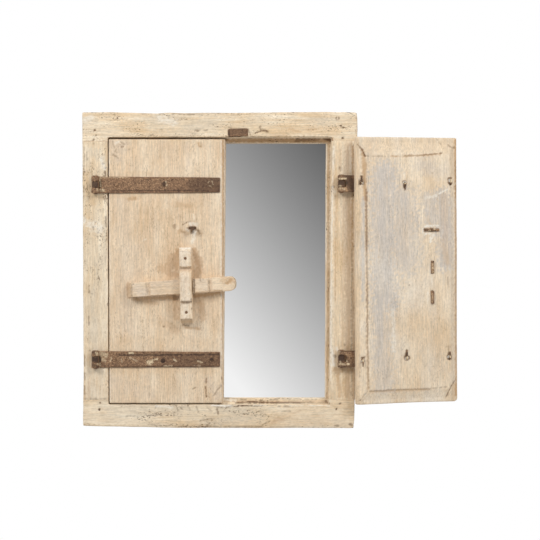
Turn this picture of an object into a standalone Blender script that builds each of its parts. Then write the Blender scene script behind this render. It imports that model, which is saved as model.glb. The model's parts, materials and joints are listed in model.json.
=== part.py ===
"""A wall mirror made from an old jharokha, a small Indian window.

The frame is four timbers, nailed through their tenons, with the mirror behind their lip. Two
plank leaves hang in the frame's front rebate on wrought iron strap hinges, whose rolled knuckles
are split round a folded cotter. A wooden bolt slides through a carved keeper on the left leaf
into an iron catch on the right leaf. The left leaf is shown shut and the right leaf swung back
past flat.

Metres, +Z up, front towards -Y. The origin is the middle of the top rail's back face, on the wall.
"""

import math

import bmesh
import bpy
from mathutils import Matrix, Vector

for old in list(bpy.data.objects):
    bpy.data.objects.remove(old, do_unlink=True)

# Frame timbers
FRAME_WIDTH = 0.4934
FRAME_HEIGHT = 0.5680
FRAME_DEPTH = 0.050
TOP_RAIL_HEIGHT = 0.0526
BOTTOM_RAIL_HEIGHT = 0.0525
WORN_ARRIS = 0.0018
# How far each side of the frame leans in at its foot
LEFT_FOOT_LEAN = 0.0013
RIGHT_FOOT_LEAN = 0.0063
# Width of each stile's front face, and of the lip beside it, at its head and foot
LEFT_FACE_HEAD = 0.0445
LEFT_FACE_FOOT = 0.0450
RIGHT_FACE_HEAD = 0.0450
RIGHT_FACE_FOOT = 0.0443
LEFT_LIP_HEAD = 0.0098
LEFT_LIP_FOOT = 0.0089
RIGHT_LIP_HEAD = 0.0093
RIGHT_LIP_FOOT = 0.0060
# Lip of the rails, the lip's thickness, and the rebate behind it for the mirror
TOP_LIP = 0.0087
BOTTOM_LIP = 0.0099
LIP_THICKNESS = 0.0080
BACK_REBATE = 0.0090

# Corner joints
TENON_WIDTH = 0.0250
TENON_THICKNESS = 0.0140
TENON_LENGTH = 0.0330
CORNER_NAIL_RADIUS = 0.0017
CORNER_NAIL_LENGTH = 0.0380
CORNER_NAIL_SINK = 0.0012
# Across the stile's face from its outer edge, and down the rail's face from its top
TOP_LEFT_NAIL_SHARES = (0.494, 0.61)
TOP_RIGHT_NAIL_SHARES = (0.632, 0.452)
BOTTOM_LEFT_NAIL_SHARES = (0.644, 0.378)
BOTTOM_RIGHT_NAIL_SHARES = (0.679, 0.344)

# Iron let into the top rail
RAIL_IRON_WIDTH = 0.0355
RAIL_IRON_HEIGHT = 0.0130
RAIL_IRON_THICKNESS = 0.0040
RAIL_IRON_PROUD = 0.0006
RAIL_IRON_OFFSET = 0.0328
RAIL_IRON_RISE = 0.0017
RAIL_IRON_TURN = math.radians(-2.0)
RAIL_IRON_CORNER = 0.0015

# Mirror and its fixing
GLASS_THICKNESS = 0.0040
GLASS_ARRIS = 0.0005
GLASS_SIDE_GAP = 0.0010
# Of the room behind the backing: the battens' thickness, and the screw eyes' distance from the back
BATTEN_THICKNESS_SHARE = 0.566
EYE_FROM_BACK_SHARE = 0.189
BACKING_THICKNESS = 0.0050
BATTEN_WIDTH = 0.0130
BATTEN_ARRIS = 0.0010
BATTEN_NAIL_RADIUS = 0.0009
BATTEN_NAIL_HEAD = 0.0021
BATTEN_NAIL_HEAD_HEIGHT = 0.0008
BATTEN_NAIL_BITE = 0.0120
BATTEN_NAIL_SHARES = (0.18, 0.82)
EYE_DROP_SHARE = 0.2113
EYE_RADIUS = 0.0060
EYE_WIRE = 0.0014
EYE_STEM = 0.0140
EYE_NECK = 0.0020

# Fits
FIT_GAP = 0.0003
HINGE_PLAY = 0.0004
BOLT_PLAY = 0.0009
OVERRUN = 0.0050

# Leaves
LEAF_THICKNESS = 0.0150
FIELD_THICKNESS = 0.0200
LEAF_STOP_GAP = 0.0012
# Gaps round the shut leaves: the right one's side gap at the frame's head and foot
LEFT_LEAF_SIDE_GAP = 0.0012
RIGHT_LEAF_SIDE_GAP_HEAD = 0.0034
RIGHT_LEAF_SIDE_GAP_FOOT = 0.0005
LEFT_LEAF_HEAD_GAP = 0.0030
RIGHT_LEAF_HEAD_GAP = 0.0018
LEAF_FOOT_GAP = 0.0018
LEAF_ARRIS = 0.0010
RIGHT_LEAF_HEAD_RISE = 0.0013
RIGHT_LEAF_FOOT_RISE = 0.0022
MEETING_LINE = 0.0109
MEETING_GAP = 0.0010
# How far each leaf's free side leans to the left on its way down
LEFT_LEAF_FOOT_TAPER = 0.0050
RIGHT_LEAF_FOOT_FLARE = 0.0030
MEETING_CHAMFER_HEAD = 0.0070
MEETING_CHAMFER_FOOT = 0.0027
MEETING_CHAMFER_DEPTH = 0.0060
# Raised field on each leaf's inner face: the flat margin, then the bevel up to the field
HINGE_MARGIN = 0.0060
HINGE_BEVEL = 0.0130
FREE_MARGIN = 0.0060
FREE_BEVEL = 0.0080
HEAD_MARGIN = 0.0100
HEAD_BEVEL = 0.0220
FOOT_MARGIN = 0.0080
FOOT_BEVEL = 0.0190

# Strap hinges
LEFT_AXIS_INSET = 0.0240
RIGHT_AXIS_INSET = 0.0281
# Down the frame's height from its top
LEFT_HINGE_DROP_SHARES = (("upper", 0.2289), ("lower", 0.7812))
RIGHT_HINGE_DROP_SHARES = (("upper", 0.2259), ("lower", 0.7787))
STRAP_WIDTH = 0.0305
STRAP_TIP_WIDTH = 0.0270
STRAP_THICKNESS = 0.0026
STRAP_END_SETBACK = 0.0051
KNUCKLE_RADIUS = 0.0070
KNUCKLE_ROLL_END = math.radians(-30.0)
SLOT_REACH = 0.0072
PIN_RADIUS = 0.0039
PIN_OVERHANG = 0.0012
PIN_DOME = 0.0008
COTTER_WIDTH = 0.0108
COTTER_THICKNESS = 0.0022
COTTER_LEG_GAP = 0.0006
COTTER_DEPTH = 0.0360
RIGHT_OPEN_ANGLE = math.radians(190.0)

# Strap nails, driven from the outside and clenched over on the inside
STRAP_NAIL_RADIUS = 0.0017
STRAP_NAIL_HEAD = 0.0041
STRAP_NAIL_HEAD_HEIGHT = 0.0018
# How high up the head, and how wide there
CROWN_SHARES = ((1.0, 0.4), (0.75, 0.8))
CLENCH_LENGTH = 0.0125
CLENCH_TIP = 0.0006
# From the edge of the frame's lip to the strap's end, and the way that the point is turned
LEFT_UPPER_NAIL_SHARES = ((0.035, 1), (0.472, -1), (0.910, 1))
LEFT_LOWER_NAIL_SHARES = ((0.015, -1), (0.465, 1), (0.920, -1))
RIGHT_UPPER_NAIL_SHARES = ((0.020, 1), (0.474, -1), (0.962, 1))
RIGHT_LOWER_NAIL_SHARES = ((0.026, -1), (0.492, 1), (0.954, 1))

# Bolt
BOLT_START = 0.0581
BOLT_DROP_SHARE = 0.5620
BOLT_TILT = math.radians(3.67)
BOLT_HEIGHT = 0.0262
BOLT_THICKNESS = 0.0124
LUG_THICKNESS = 0.0190
LUG_TOE = 0.0070
LUG_RAMP = 0.0085
LEFT_LUG_LENGTH = 0.0235
RIGHT_LUG_LENGTH = 0.0277
TONGUE_LENGTH = 0.0486
BOLT_TIP_RADIUS = 0.0105
BOLT_ARRIS = 0.0009
BOLT_SEAT = 0.0005
BOLT_STOP_GAP = 0.0016

# Keeper that the bolt slides through
KEEPER_PLACE = 0.1616
KEEPER_RISE = 0.0767
KEEPER_WIDTH = 0.0213
KEEPER_DRAFT = 0.0012
KEEPER_TURN = math.radians(1.2)
KEEPER_TOP_BEVEL = 0.0085
KEEPER_TOP_PROUD = 0.0150
KEEPER_BLOCK_PROUD = 0.0215
KEEPER_UPPER_BLOCK = 0.0265
KEEPER_GROOVE = 0.0040
KEEPER_GROOVE_PROUD = 0.0165
KEEPER_ARCH = 0.0140
KEEPER_BRIDGE_PROUD = 0.0285
KEEPER_BRIDGE = 0.0425
KEEPER_SAW_KERF = 0.0012
KEEPER_SAW_PROUD = 0.0200
KEEPER_LOWER_BLOCK = 0.0310
KEEPER_FOOT_BEVEL = 0.0080
KEEPER_FOOT_PROUD = 0.0080
KEEPER_ARRIS = 0.0012
KEEPER_NAIL_RADIUS = 0.0016
KEEPER_NAIL_HEAD = 0.0027
KEEPER_NAIL_HEAD_HEIGHT = 0.0012
KEEPER_NAIL_BITE = 0.0130
KEEPER_UPPER_NAIL_DROP = 0.0198
KEEPER_LOWER_NAIL_DROP = 0.1160

# Catch on the right leaf, a strip bent into a staple
CATCH_PLACE = 0.1609
CATCH_PLAY = 0.0026
CATCH_PROUD = 0.0185
CATCH_THICKNESS = 0.0026
CATCH_WIDTH = 0.0055
CATCH_CORNER = 0.0050
CATCH_CLENCH = 0.0200

# Chain staples, folded strips with an eye
LEFT_CHAIN_PLACE = 0.1742
LEFT_CHAIN_DROP_SHARE = 0.3655
RIGHT_CHAIN_PLACE = 0.1589
RIGHT_CHAIN_DROP_SHARE = 0.3715
CHAIN_EYE_RADIUS = 0.0062
CHAIN_STRIP_WIDTH = 0.0054
CHAIN_STRIP_THICKNESS = 0.0018
CHAIN_EYE_STANDOFF = 0.0085
CHAIN_CLENCH = 0.0120

# Points of nails and screws, for a radius of 1
POINT_LENGTH_SHARE = 3.5
POINT_END_SHARE = 0.3

# Roundness of turned, rolled and bent work
MITRE_LIMIT_SHARE = 0.5
WEAR_ANGLE = math.radians(60.0)
ROUND_SIDES = 16
NAIL_SIDES = 8
ARC_STEP = math.radians(22.5)
BEND_STEP = math.radians(30.0)

# Places worked out from the sizes above
HEAD_Z = TOP_RAIL_HEIGHT / 2
FOOT_Z = HEAD_Z - FRAME_HEIGHT
OPENING_HEAD = HEAD_Z - TOP_RAIL_HEIGHT
OPENING_FOOT = FOOT_Z + BOTTOM_RAIL_HEIGHT
FRONT = -FRAME_DEPTH
LIP_FRONT = FRONT + LEAF_THICKNESS + LEAF_STOP_GAP
LIP_BACK = LIP_FRONT + LIP_THICKNESS
GLASS_FRONT = LIP_BACK + FIT_GAP
BACKING_FRONT = GLASS_FRONT + GLASS_THICKNESS + FIT_GAP
BATTEN_FRONT = BACKING_FRONT + BACKING_THICKNESS + FIT_GAP
BATTEN_THICKNESS = -BATTEN_FRONT * BATTEN_THICKNESS_SHARE
AXIS_STANDOFF = KNUCKLE_RADIUS + FIT_GAP
HINGE_Y = FRONT - AXIS_STANDOFF
LEAF_FOOT = OPENING_FOOT - BOTTOM_LIP + LEAF_FOOT_GAP
SIDES = {"left": -1, "right": 1}


# Colours as linear light, with roughness and metallic
def material(name, colour, roughness, metallic):
    made = bpy.data.materials.new(name)
    made.use_nodes = True
    shader = made.node_tree.nodes["Principled BSDF"]
    shader.inputs["Base Color"].default_value = (*colour, 1.0)
    shader.inputs["Roughness"].default_value = roughness
    shader.inputs["Metallic"].default_value = metallic
    made.diffuse_color = (*colour, 1.0)
    return made


FRAME_WOOD = material("limed_reclaimed_timber", (0.72, 0.58, 0.40), 0.85, 0.0)
LEAF_WOOD = material("sanded_bleached_plank", (0.68, 0.52, 0.34), 0.85, 0.0)
WROUGHT_IRON = material("rusted_wrought_iron", (0.13, 0.085, 0.06), 0.75, 0.6)
MIRROR = material("silvered_glass", (0.86, 0.87, 0.87), 0.03, 1.0)
PLYWOOD = material("plain_plywood", (0.52, 0.36, 0.2), 0.8, 0.0)
PLATED_STEEL = material("zinc_plated_steel", (0.55, 0.55, 0.53), 0.4, 1.0)


# Views that an outline can be drawn in: a and b lie in the view, c is the depth through it
def front_view(a, b, c):
    return Vector((a, c, b))


def top_view(a, b, c):
    return Vector((a, b, c))


def side_view(a, b, c):
    return Vector((c, a, b))


# Closed meshes
def closed(mesh):
    bmesh.ops.recalc_face_normals(mesh, faces=mesh.faces)
    return mesh


def prism(outline, low, high, view):
    """The outline drawn in a view and pushed through it from low to high."""
    return loft([(outline, low), (outline, high)], view)


def loft(sections, view):
    """A solid through outlines with as many points each, every one at its own depth."""
    mesh = bmesh.new()
    rings = [[mesh.verts.new(view(a, b, depth)) for a, b in outline] for outline, depth in sections]
    mesh.faces.new(rings[0])
    mesh.faces.new(rings[-1])
    for near, far in zip(rings, rings[1:]):
        for i, corner in enumerate(near):
            mesh.faces.new((near[i - 1], corner, far[i], far[i - 1]))
    return closed(mesh)


def block(low, high):
    """A box between two corners."""
    (x0, y0, z0), (x1, y1, z1) = low, high
    return prism([(x0, z0), (x1, z0), (x1, z1), (x0, z1)], y0, y1, front_view)


def softened(mesh, width, segments=2, sharp_end=None):
    """Every edge of the solid worn round, but for those of its lowest or highest face: min or max."""
    edges = mesh.edges[:]
    if sharp_end:
        level = sharp_end(vert.co.z for vert in mesh.verts)
        edges = [edge for edge in edges if any(vert.co.z != level for vert in edge.verts)]
    bmesh.ops.bevel(mesh, geom=edges, offset=width, segments=segments, profile=0.5, affect="EDGES")
    return closed(mesh)


def arc(centre, radius, start, end, step=ARC_STEP):
    """Points round a circle from the angle start to the angle end."""
    count = max(2, round(abs(end - start) / step))
    angles = [start + (end - start) * i / count for i in range(count + 1)]
    return [(centre[0] + radius * math.cos(t), centre[1] + radius * math.sin(t)) for t in angles]


def ribbon(path, thickness):
    """The outline of a strip of even thickness whose middle follows the path."""
    points = [Vector(p) for p in path]
    runs = [(b - a).normalized() for a, b in zip(points, points[1:])]
    runs = [runs[0], *runs, runs[-1]]
    near, far = [], []
    for point, before, after in zip(points, runs, runs[1:]):
        along = (before + after).normalized()
        across = Vector((-along.y, along.x)) / along.dot(after)
        near.append(tuple(point + across * thickness / 2))
        far.append(tuple(point - across * thickness / 2))
    return near + far[::-1]


def rod(stations, sides, across):
    """A round bar through (point, radius) stations. across is a direction that it never runs in."""
    mesh = bmesh.new()
    places = [Vector(point) for point, _ in stations]
    rings = []
    for i, (place, (_, radius)) in enumerate(zip(places, stations)):
        ahead = next((p - place for p in places[i + 1 :] if p != place), Vector())
        behind = next((place - p for p in places[i::-1] if p != place), Vector())
        along = (ahead.normalized() + behind.normalized()).normalized()
        first = along.cross(Vector(across)).normalized()
        second = along.cross(first)
        stretch = 1.0 / max(along.dot((ahead or behind).normalized()), MITRE_LIMIT_SHARE)
        turn = math.pi / sides
        rings.append(
            [
                mesh.verts.new(
                    place
                    + first * radius * math.cos(2 * turn * k + turn)
                    + second * radius * stretch * math.sin(2 * turn * k + turn)
                )
                for k in range(sides)
            ]
        )
    mesh.faces.new(rings[0])
    mesh.faces.new(rings[-1])
    for near, far in zip(rings, rings[1:]):
        for k in range(sides):
            mesh.faces.new((near[k - 1], near[k], far[k], far[k - 1]))
    return closed(mesh)


def bore(point, run, radius, sides=NAIL_SIDES):
    """A straight round cutter from a point, along run."""
    start = Vector(point)
    along = Vector(run)
    across = (0, 0, 1) if abs(along.z) < along.length / 2 else (1, 0, 0)
    return rod([(start, radius), (start + along, radius)], sides, across)


def together(*meshes):
    """Separate solids in one mesh."""
    whole = bmesh.new()
    for mesh in meshes:
        data = bpy.data.meshes.new("part")
        mesh.to_mesh(data)
        whole.from_mesh(data)
        bpy.data.meshes.remove(data)
        mesh.free()
    return whole


# Objects
def guide(name, place, parent=None, turn=(0.0, 0.0, 0.0)):
    """An empty that carries what turns or slides with it."""
    empty = bpy.data.objects.new(name, None)
    empty.location = place
    empty.rotation_euler = turn
    empty.parent = parent
    bpy.context.scene.collection.objects.link(empty)
    return empty


def piece(name, mesh, look, parent=None, smooth=None):
    """One named sub-part."""
    data = bpy.data.meshes.new(name)
    mesh.to_mesh(data)
    mesh.free()
    if smooth:
        data.shade_smooth()
        data.set_sharp_from_angle(angle=smooth)
    data.materials.append(look)
    made = bpy.data.objects.new(name, data)
    made.parent = parent
    bpy.context.scene.collection.objects.link(made)
    return made


def change(target, mesh, operation="DIFFERENCE", parent=None):
    """A hidden solid cut from the target, or joined to it."""
    tool = piece(f"{target.name}_{operation.lower()}_{len(target.modifiers)}", mesh, FRAME_WOOD, parent)
    tool.hide_render = True
    tool.display_type = "WIRE"
    step = target.modifiers.new(tool.name, "BOOLEAN")
    step.operation = operation
    step.solver = "EXACT"
    step.object = tool
    return target


# The frame's slightly leaning sides, read at any height
def at_drop(drop_share):
    return HEAD_Z - FRAME_HEIGHT * drop_share


def down_share(z):
    return (HEAD_Z - z) / FRAME_HEIGHT


def between(head, foot, z):
    return head + (foot - head) * down_share(z)


def outer_edge(side, z):
    lean = LEFT_FOOT_LEAN if side == "left" else RIGHT_FOOT_LEAN
    return SIDES[side] * (FRAME_WIDTH / 2 - lean * down_share(z))


def face_width(side, z):
    if side == "left":
        return between(LEFT_FACE_HEAD, LEFT_FACE_FOOT, z)
    return between(RIGHT_FACE_HEAD, RIGHT_FACE_FOOT, z)


def face_edge(side, z):
    return outer_edge(side, z) - SIDES[side] * face_width(side, z)


def lip_edge(side, z):
    if side == "left":
        lip = between(LEFT_LIP_HEAD, LEFT_LIP_FOOT, z)
    else:
        lip = between(RIGHT_LIP_HEAD, RIGHT_LIP_FOOT, z)
    return face_edge(side, z) - SIDES[side] * lip


def back_edge(side, z):
    return lip_edge(side, z) + SIDES[side] * BACK_REBATE


def band(low, high, left, right):
    """The part of the front view from low to high between two leaning edges."""
    return [(left(low), low), (right(low), low), (right(high), high), (left(high), high)]


# Frame
def tenon_box(side, z, up, gap=0.0):
    """The tenon at height z, pointing up or down, with a gap all round for its mortise."""
    middle = outer_edge(side, z) - SIDES[side] * face_width(side, z) / 2
    half_width = TENON_WIDTH / 2 + gap
    half_depth = TENON_THICKNESS / 2 + gap
    root, end = z - up * OVERRUN, z + up * (TENON_LENGTH + gap)
    return block(
        (middle - half_width, FRONT / 2 - half_depth, min(root, end)),
        (middle + half_width, FRONT / 2 + half_depth, max(root, end)),
    )


def corner_nail_place(rail, side):
    across_share, fall_share = {
        ("top", "left"): TOP_LEFT_NAIL_SHARES,
        ("top", "right"): TOP_RIGHT_NAIL_SHARES,
        ("bottom", "left"): BOTTOM_LEFT_NAIL_SHARES,
        ("bottom", "right"): BOTTOM_RIGHT_NAIL_SHARES,
    }[rail, side]
    top, height = (HEAD_Z, TOP_RAIL_HEIGHT) if rail == "top" else (OPENING_FOOT, BOTTOM_RAIL_HEIGHT)
    z = top - height * fall_share
    return outer_edge(side, z) - SIDES[side] * face_width(side, z) * across_share, z


def corner_nail_bore(rail, side):
    x, z = corner_nail_place(rail, side)
    length = CORNER_NAIL_SINK + CORNER_NAIL_LENGTH + FIT_GAP
    return bore((x, FRONT - OVERRUN, z), (0, OVERRUN + length, 0), CORNER_NAIL_RADIUS + FIT_GAP)


def corner_nail(rail, side):
    x, z = corner_nail_place(rail, side)
    head = FRONT + CORNER_NAIL_SINK
    tip = head + CORNER_NAIL_LENGTH
    return rod(
        [
            ((x, head, z), CORNER_NAIL_RADIUS),
            ((x, tip - CORNER_NAIL_RADIUS * POINT_LENGTH_SHARE, z), CORNER_NAIL_RADIUS),
            ((x, tip, z), CORNER_NAIL_RADIUS * POINT_END_SHARE),
        ],
        NAIL_SIDES,
        (0, 0, 1),
    )


def rail_iron_box(gap=0.0):
    half_width = RAIL_IRON_WIDTH / 2 + gap
    half_height = RAIL_IRON_HEIGHT / 2 + gap
    corner = RAIL_IRON_CORNER
    outline = [
        *arc((half_width - corner, half_height - corner), corner, 0, math.pi / 2, BEND_STEP),
        *arc((corner - half_width, half_height - corner), corner, math.pi / 2, math.pi, BEND_STEP),
        *arc((corner - half_width, corner - half_height), corner, math.pi, math.pi * 1.5, BEND_STEP),
        *arc((half_width - corner, corner - half_height), corner, math.pi * 1.5, math.tau, BEND_STEP),
    ]
    front = FRONT - (OVERRUN if gap else RAIL_IRON_PROUD)
    plate = prism(outline, front, FRONT - RAIL_IRON_PROUD + RAIL_IRON_THICKNESS + gap, front_view)
    rise = OPENING_HEAD + TOP_LIP + RAIL_IRON_RISE + RAIL_IRON_HEIGHT / 2
    place = Matrix.Translation((RAIL_IRON_OFFSET, 0, rise)) @ Matrix.Rotation(RAIL_IRON_TURN, 4, "Y")
    bmesh.ops.transform(plate, matrix=place, verts=plate.verts)
    return plate


def rail(name, joint_side, low, high, lip_low, lip_high, back_low, back_high):
    """A rail across the whole frame, rebated in front for the leaves and behind for the mirror."""
    outline = band(low, high, lambda z: outer_edge("left", z), lambda z: outer_edge("right", z))
    beam = softened(prism(outline, FRONT, 0, front_view), WORN_ARRIS, sharp_end=joint_side)
    timber = piece(name, beam, FRAME_WOOD)
    front = band(lip_low, lip_high, lambda z: face_edge("left", z), lambda z: face_edge("right", z))
    change(timber, prism(front, FRONT - OVERRUN, LIP_FRONT, front_view))
    back = band(back_low, back_high, lambda z: back_edge("left", z), lambda z: back_edge("right", z))
    return change(timber, prism(back, LIP_BACK, OVERRUN, front_view))


def rails():
    top = rail(
        "top_rail",
        min,
        OPENING_HEAD,
        HEAD_Z,
        OPENING_HEAD - OVERRUN,
        OPENING_HEAD + TOP_LIP,
        OPENING_HEAD - OVERRUN,
        OPENING_HEAD + BACK_REBATE,
    )
    bottom = rail(
        "bottom_rail",
        max,
        FOOT_Z,
        OPENING_FOOT,
        OPENING_FOOT - BOTTOM_LIP,
        OPENING_FOOT + OVERRUN,
        OPENING_FOOT - BACK_REBATE,
        OPENING_FOOT + OVERRUN,
    )
    for side in SIDES:
        change(top, tenon_box(side, OPENING_HEAD, 1, FIT_GAP))
        change(top, corner_nail_bore("top", side))
        change(bottom, tenon_box(side, OPENING_FOOT, -1, FIT_GAP))
        change(bottom, corner_nail_bore("bottom", side))
    change(top, rail_iron_box(FIT_GAP))
    piece("top_rail_iron", rail_iron_box(), WROUGHT_IRON)


def stile_section(side, z):
    """The stile's rebated section at height z, with its outer arrises worn round."""
    worn = WORN_ARRIS
    back = arc((worn, -worn), worn, math.pi / 2, math.pi, BEND_STEP)
    front = arc((worn, FRONT + worn), worn, math.pi, math.pi * 1.5, BEND_STEP)
    return [
        *[(outer_edge(side, z) - SIDES[side] * a, b) for a, b in [*back, *front]],
        (face_edge(side, z), FRONT),
        (face_edge(side, z), LIP_FRONT),
        (lip_edge(side, z), LIP_FRONT),
        (lip_edge(side, z), LIP_BACK),
        (back_edge(side, z), LIP_BACK),
        (back_edge(side, z), 0.0),
    ]


def stiles():
    head = OPENING_HEAD - FIT_GAP
    foot = OPENING_FOOT + FIT_GAP
    for side in SIDES:
        sections = [(stile_section(side, foot), foot), (stile_section(side, head), head)]
        timber = piece(f"{side}_stile", loft(sections, top_view), FRAME_WOOD)
        change(timber, tenon_box(side, head, 1), "UNION")
        change(timber, tenon_box(side, foot, -1), "UNION")
        change(timber, corner_nail_bore("top", side))
        change(timber, corner_nail_bore("bottom", side))
        for _, z in hinge_heights(side):
            change(timber, cotter_mortise(side, z))


def corner_nails():
    for rail_name in ("top", "bottom"):
        for side in SIDES:
            piece(f"corner_nail_{rail_name}_{side}", corner_nail(rail_name, side), WROUGHT_IRON)


# Mirror, backing and what holds them
def inner_limits():
    """The widest upright rectangle between the leaning walls of the back rebate."""
    low, high = OPENING_FOOT - BACK_REBATE, OPENING_HEAD + BACK_REBATE
    left = max(back_edge("left", low), back_edge("left", high)) + GLASS_SIDE_GAP
    right = min(back_edge("right", low), back_edge("right", high)) - GLASS_SIDE_GAP
    return left, right, low + GLASS_SIDE_GAP, high - GLASS_SIDE_GAP


def mirror_and_backing():
    left, right, low, high = inner_limits()
    glass = block((left, GLASS_FRONT, low), (right, GLASS_FRONT + GLASS_THICKNESS, high))
    piece("mirror_glass", softened(glass, GLASS_ARRIS, 1), MIRROR)
    board = block((left, BACKING_FRONT, low), (right, BACKING_FRONT + BACKING_THICKNESS, high))
    piece("backing_board", board, PLYWOOD)


def batten_outlines():
    """Each batten in the front view: two along the rails, two between them along the stiles."""
    low = OPENING_FOOT - BACK_REBATE + FIT_GAP
    high = OPENING_HEAD + BACK_REBATE - FIT_GAP

    def left_wall(z):
        return back_edge("left", z) + FIT_GAP

    def right_wall(z):
        return back_edge("right", z) - FIT_GAP

    inner_low, inner_high = low + BATTEN_WIDTH + FIT_GAP, high - BATTEN_WIDTH - FIT_GAP
    return {
        "batten_bottom": band(low, low + BATTEN_WIDTH, left_wall, right_wall),
        "batten_top": band(high - BATTEN_WIDTH, high, left_wall, right_wall),
        "batten_left": band(inner_low, inner_high, left_wall, lambda z: left_wall(z) + BATTEN_WIDTH),
        "batten_right": band(inner_low, inner_high, lambda z: right_wall(z) - BATTEN_WIDTH, right_wall),
    }


def batten_nail(start, outward):
    """A round wire nail through a batten into the timber behind it."""
    place, way = Vector(start), Vector(outward)
    shank = BATTEN_WIDTH + FIT_GAP + BATTEN_NAIL_BITE
    radius = BATTEN_NAIL_RADIUS
    head = place - way * (FIT_GAP + BATTEN_NAIL_HEAD_HEIGHT)
    seat = place - way * FIT_GAP
    return rod(
        [
            (head, BATTEN_NAIL_HEAD),
            (seat, BATTEN_NAIL_HEAD),
            (seat, radius),
            (place + way * (shank - radius * POINT_LENGTH_SHARE), radius),
            (place + way * shank, radius * POINT_END_SHARE),
        ],
        NAIL_SIDES,
        (0, 1, 0),
    )


def battens():
    middle = BATTEN_FRONT + BATTEN_THICKNESS / 2
    length = BATTEN_WIDTH + FIT_GAP + BATTEN_NAIL_BITE + FIT_GAP
    bores = {"top_rail": [], "bottom_rail": [], "left_stile": [], "right_stile": []}
    ways = {
        "batten_top": ((0, 0, 1), "top_rail"),
        "batten_bottom": ((0, 0, -1), "bottom_rail"),
        "batten_left": ((-1, 0, 0), "left_stile"),
        "batten_right": ((1, 0, 0), "right_stile"),
    }
    for name, outline in batten_outlines().items():
        solid = prism(outline, BATTEN_FRONT, BATTEN_FRONT + BATTEN_THICKNESS, front_view)
        strip = piece(name, softened(solid, BATTEN_ARRIS, 1), PLYWOOD)
        way, timber = ways[name]
        (x0, z0), (x1, _), _, (_, z1) = outline
        for number, nail_share in enumerate(BATTEN_NAIL_SHARES, 1):
            if way[2]:
                x = x0 + (x1 - x0) * nail_share
                z = z0 if way[2] > 0 else z1
            else:
                z = z0 + (z1 - z0) * nail_share
                x = back_edge("left" if way[0] < 0 else "right", z) - way[0] * (FIT_GAP + BATTEN_WIDTH)
            piece(f"{name}_nail_{number}", batten_nail((x, middle, z), way), PLATED_STEEL)
            start = Vector((x, middle, z)) - Vector(way) * OVERRUN
            run = Vector(way) * (OVERRUN + length)
            bores[timber].append(bore(start, run, BATTEN_NAIL_RADIUS + FIT_GAP))
            change(strip, bore(start, run, BATTEN_NAIL_RADIUS + FIT_GAP))
    for timber, cutters in bores.items():
        change(bpy.data.objects[timber], together(*cutters))


def hanging_eyes():
    """Two screw eyes in the side walls of the back recess."""
    z = at_drop(EYE_DROP_SHARE)
    y = (BACKING_FRONT + BACKING_THICKNESS) * EYE_FROM_BACK_SHARE
    for side in SIDES:
        sign = SIDES[side]
        wall = back_edge(side, z)
        centre = wall - sign * (FIT_GAP + EYE_NECK + EYE_RADIUS)
        ring = ring_solid((centre, y, z), EYE_RADIUS, EYE_WIRE)
        eye = piece(f"hanging_eye_{side}", ring, PLATED_STEEL, smooth=ARC_STEP * 2)
        root = centre + sign * EYE_RADIUS
        stem = rod(
            [
                ((root, y, z), EYE_WIRE),
                ((wall + sign * (EYE_STEM - EYE_WIRE * POINT_LENGTH_SHARE), y, z), EYE_WIRE),
                ((wall + sign * EYE_STEM, y, z), EYE_WIRE * POINT_END_SHARE),
            ],
            NAIL_SIDES,
            (0, 0, 1),
        )
        change(eye, stem, "UNION")
        run = (sign * (OVERRUN + EYE_STEM + FIT_GAP), 0, 0)
        hole = bore((wall - sign * OVERRUN, y, z), run, EYE_WIRE + FIT_GAP)
        change(bpy.data.objects[f"{side}_stile"], hole)


def ring_solid(centre, radius, wire):
    """A round wire ring in the front view."""
    mesh = bmesh.new()
    rings = []
    for i in range(ROUND_SIDES):
        turn = math.tau * i / ROUND_SIDES
        out = Vector((math.cos(turn), 0, math.sin(turn)))
        middle = Vector(centre) + out * radius
        rings.append(
            [
                mesh.verts.new(
                    middle
                    + out * wire * math.cos(math.tau * k / NAIL_SIDES)
                    + Vector((0, 1, 0)) * wire * math.sin(math.tau * k / NAIL_SIDES)
                )
                for k in range(NAIL_SIDES)
            ]
        )
    for i, near in enumerate(rings):
        far = rings[i - 1]
        for k in range(NAIL_SIDES):
            mesh.faces.new((near[k - 1], near[k], far[k], far[k - 1]))
    return closed(mesh)


# Hinges
def hinge_x(side):
    inset = LEFT_AXIS_INSET if side == "left" else RIGHT_AXIS_INSET
    return SIDES[side] * (FRAME_WIDTH / 2 - inset)


def hinge_heights(side):
    drop_shares = LEFT_HINGE_DROP_SHARES if side == "left" else RIGHT_HINGE_DROP_SHARES
    return [(level, at_drop(drop_share)) for level, drop_share in drop_shares]


def cotter_mortise(side, z):
    half_thick = COTTER_THICKNESS + COTTER_LEG_GAP / 2 + FIT_GAP
    half_width = COTTER_WIDTH / 2 + FIT_GAP
    x = hinge_x(side)
    return block(
        (x - half_thick, FRONT - OVERRUN, z - half_width),
        (x + half_thick, FRONT + COTTER_DEPTH + FIT_GAP, z + half_width),
    )


def hairpin(eye_radius, thickness, leg_gap, standoff, depth, clench=0.0):
    """The path of a folded strip: an eye at the origin and two legs that run back, clenched or not."""
    middle = (leg_gap + thickness) / 2
    lap = math.asin(middle / eye_radius)
    eye = arc((0, 0), eye_radius, math.pi / 2 + lap, math.tau + math.pi / 2 - lap)
    leg_end = standoff + depth
    if not clench:
        return [(-middle, leg_end), *eye, (middle, leg_end)]
    bend = thickness / 2 + FIT_GAP
    turned = arc((middle + bend, leg_end), bend, math.pi, math.pi / 2, BEND_STEP)
    right = [*turned, (middle + bend + clench, leg_end + bend)]
    left = [(-a, b) for a, b in reversed(right)]
    return [*left, *eye, *right]


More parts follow.
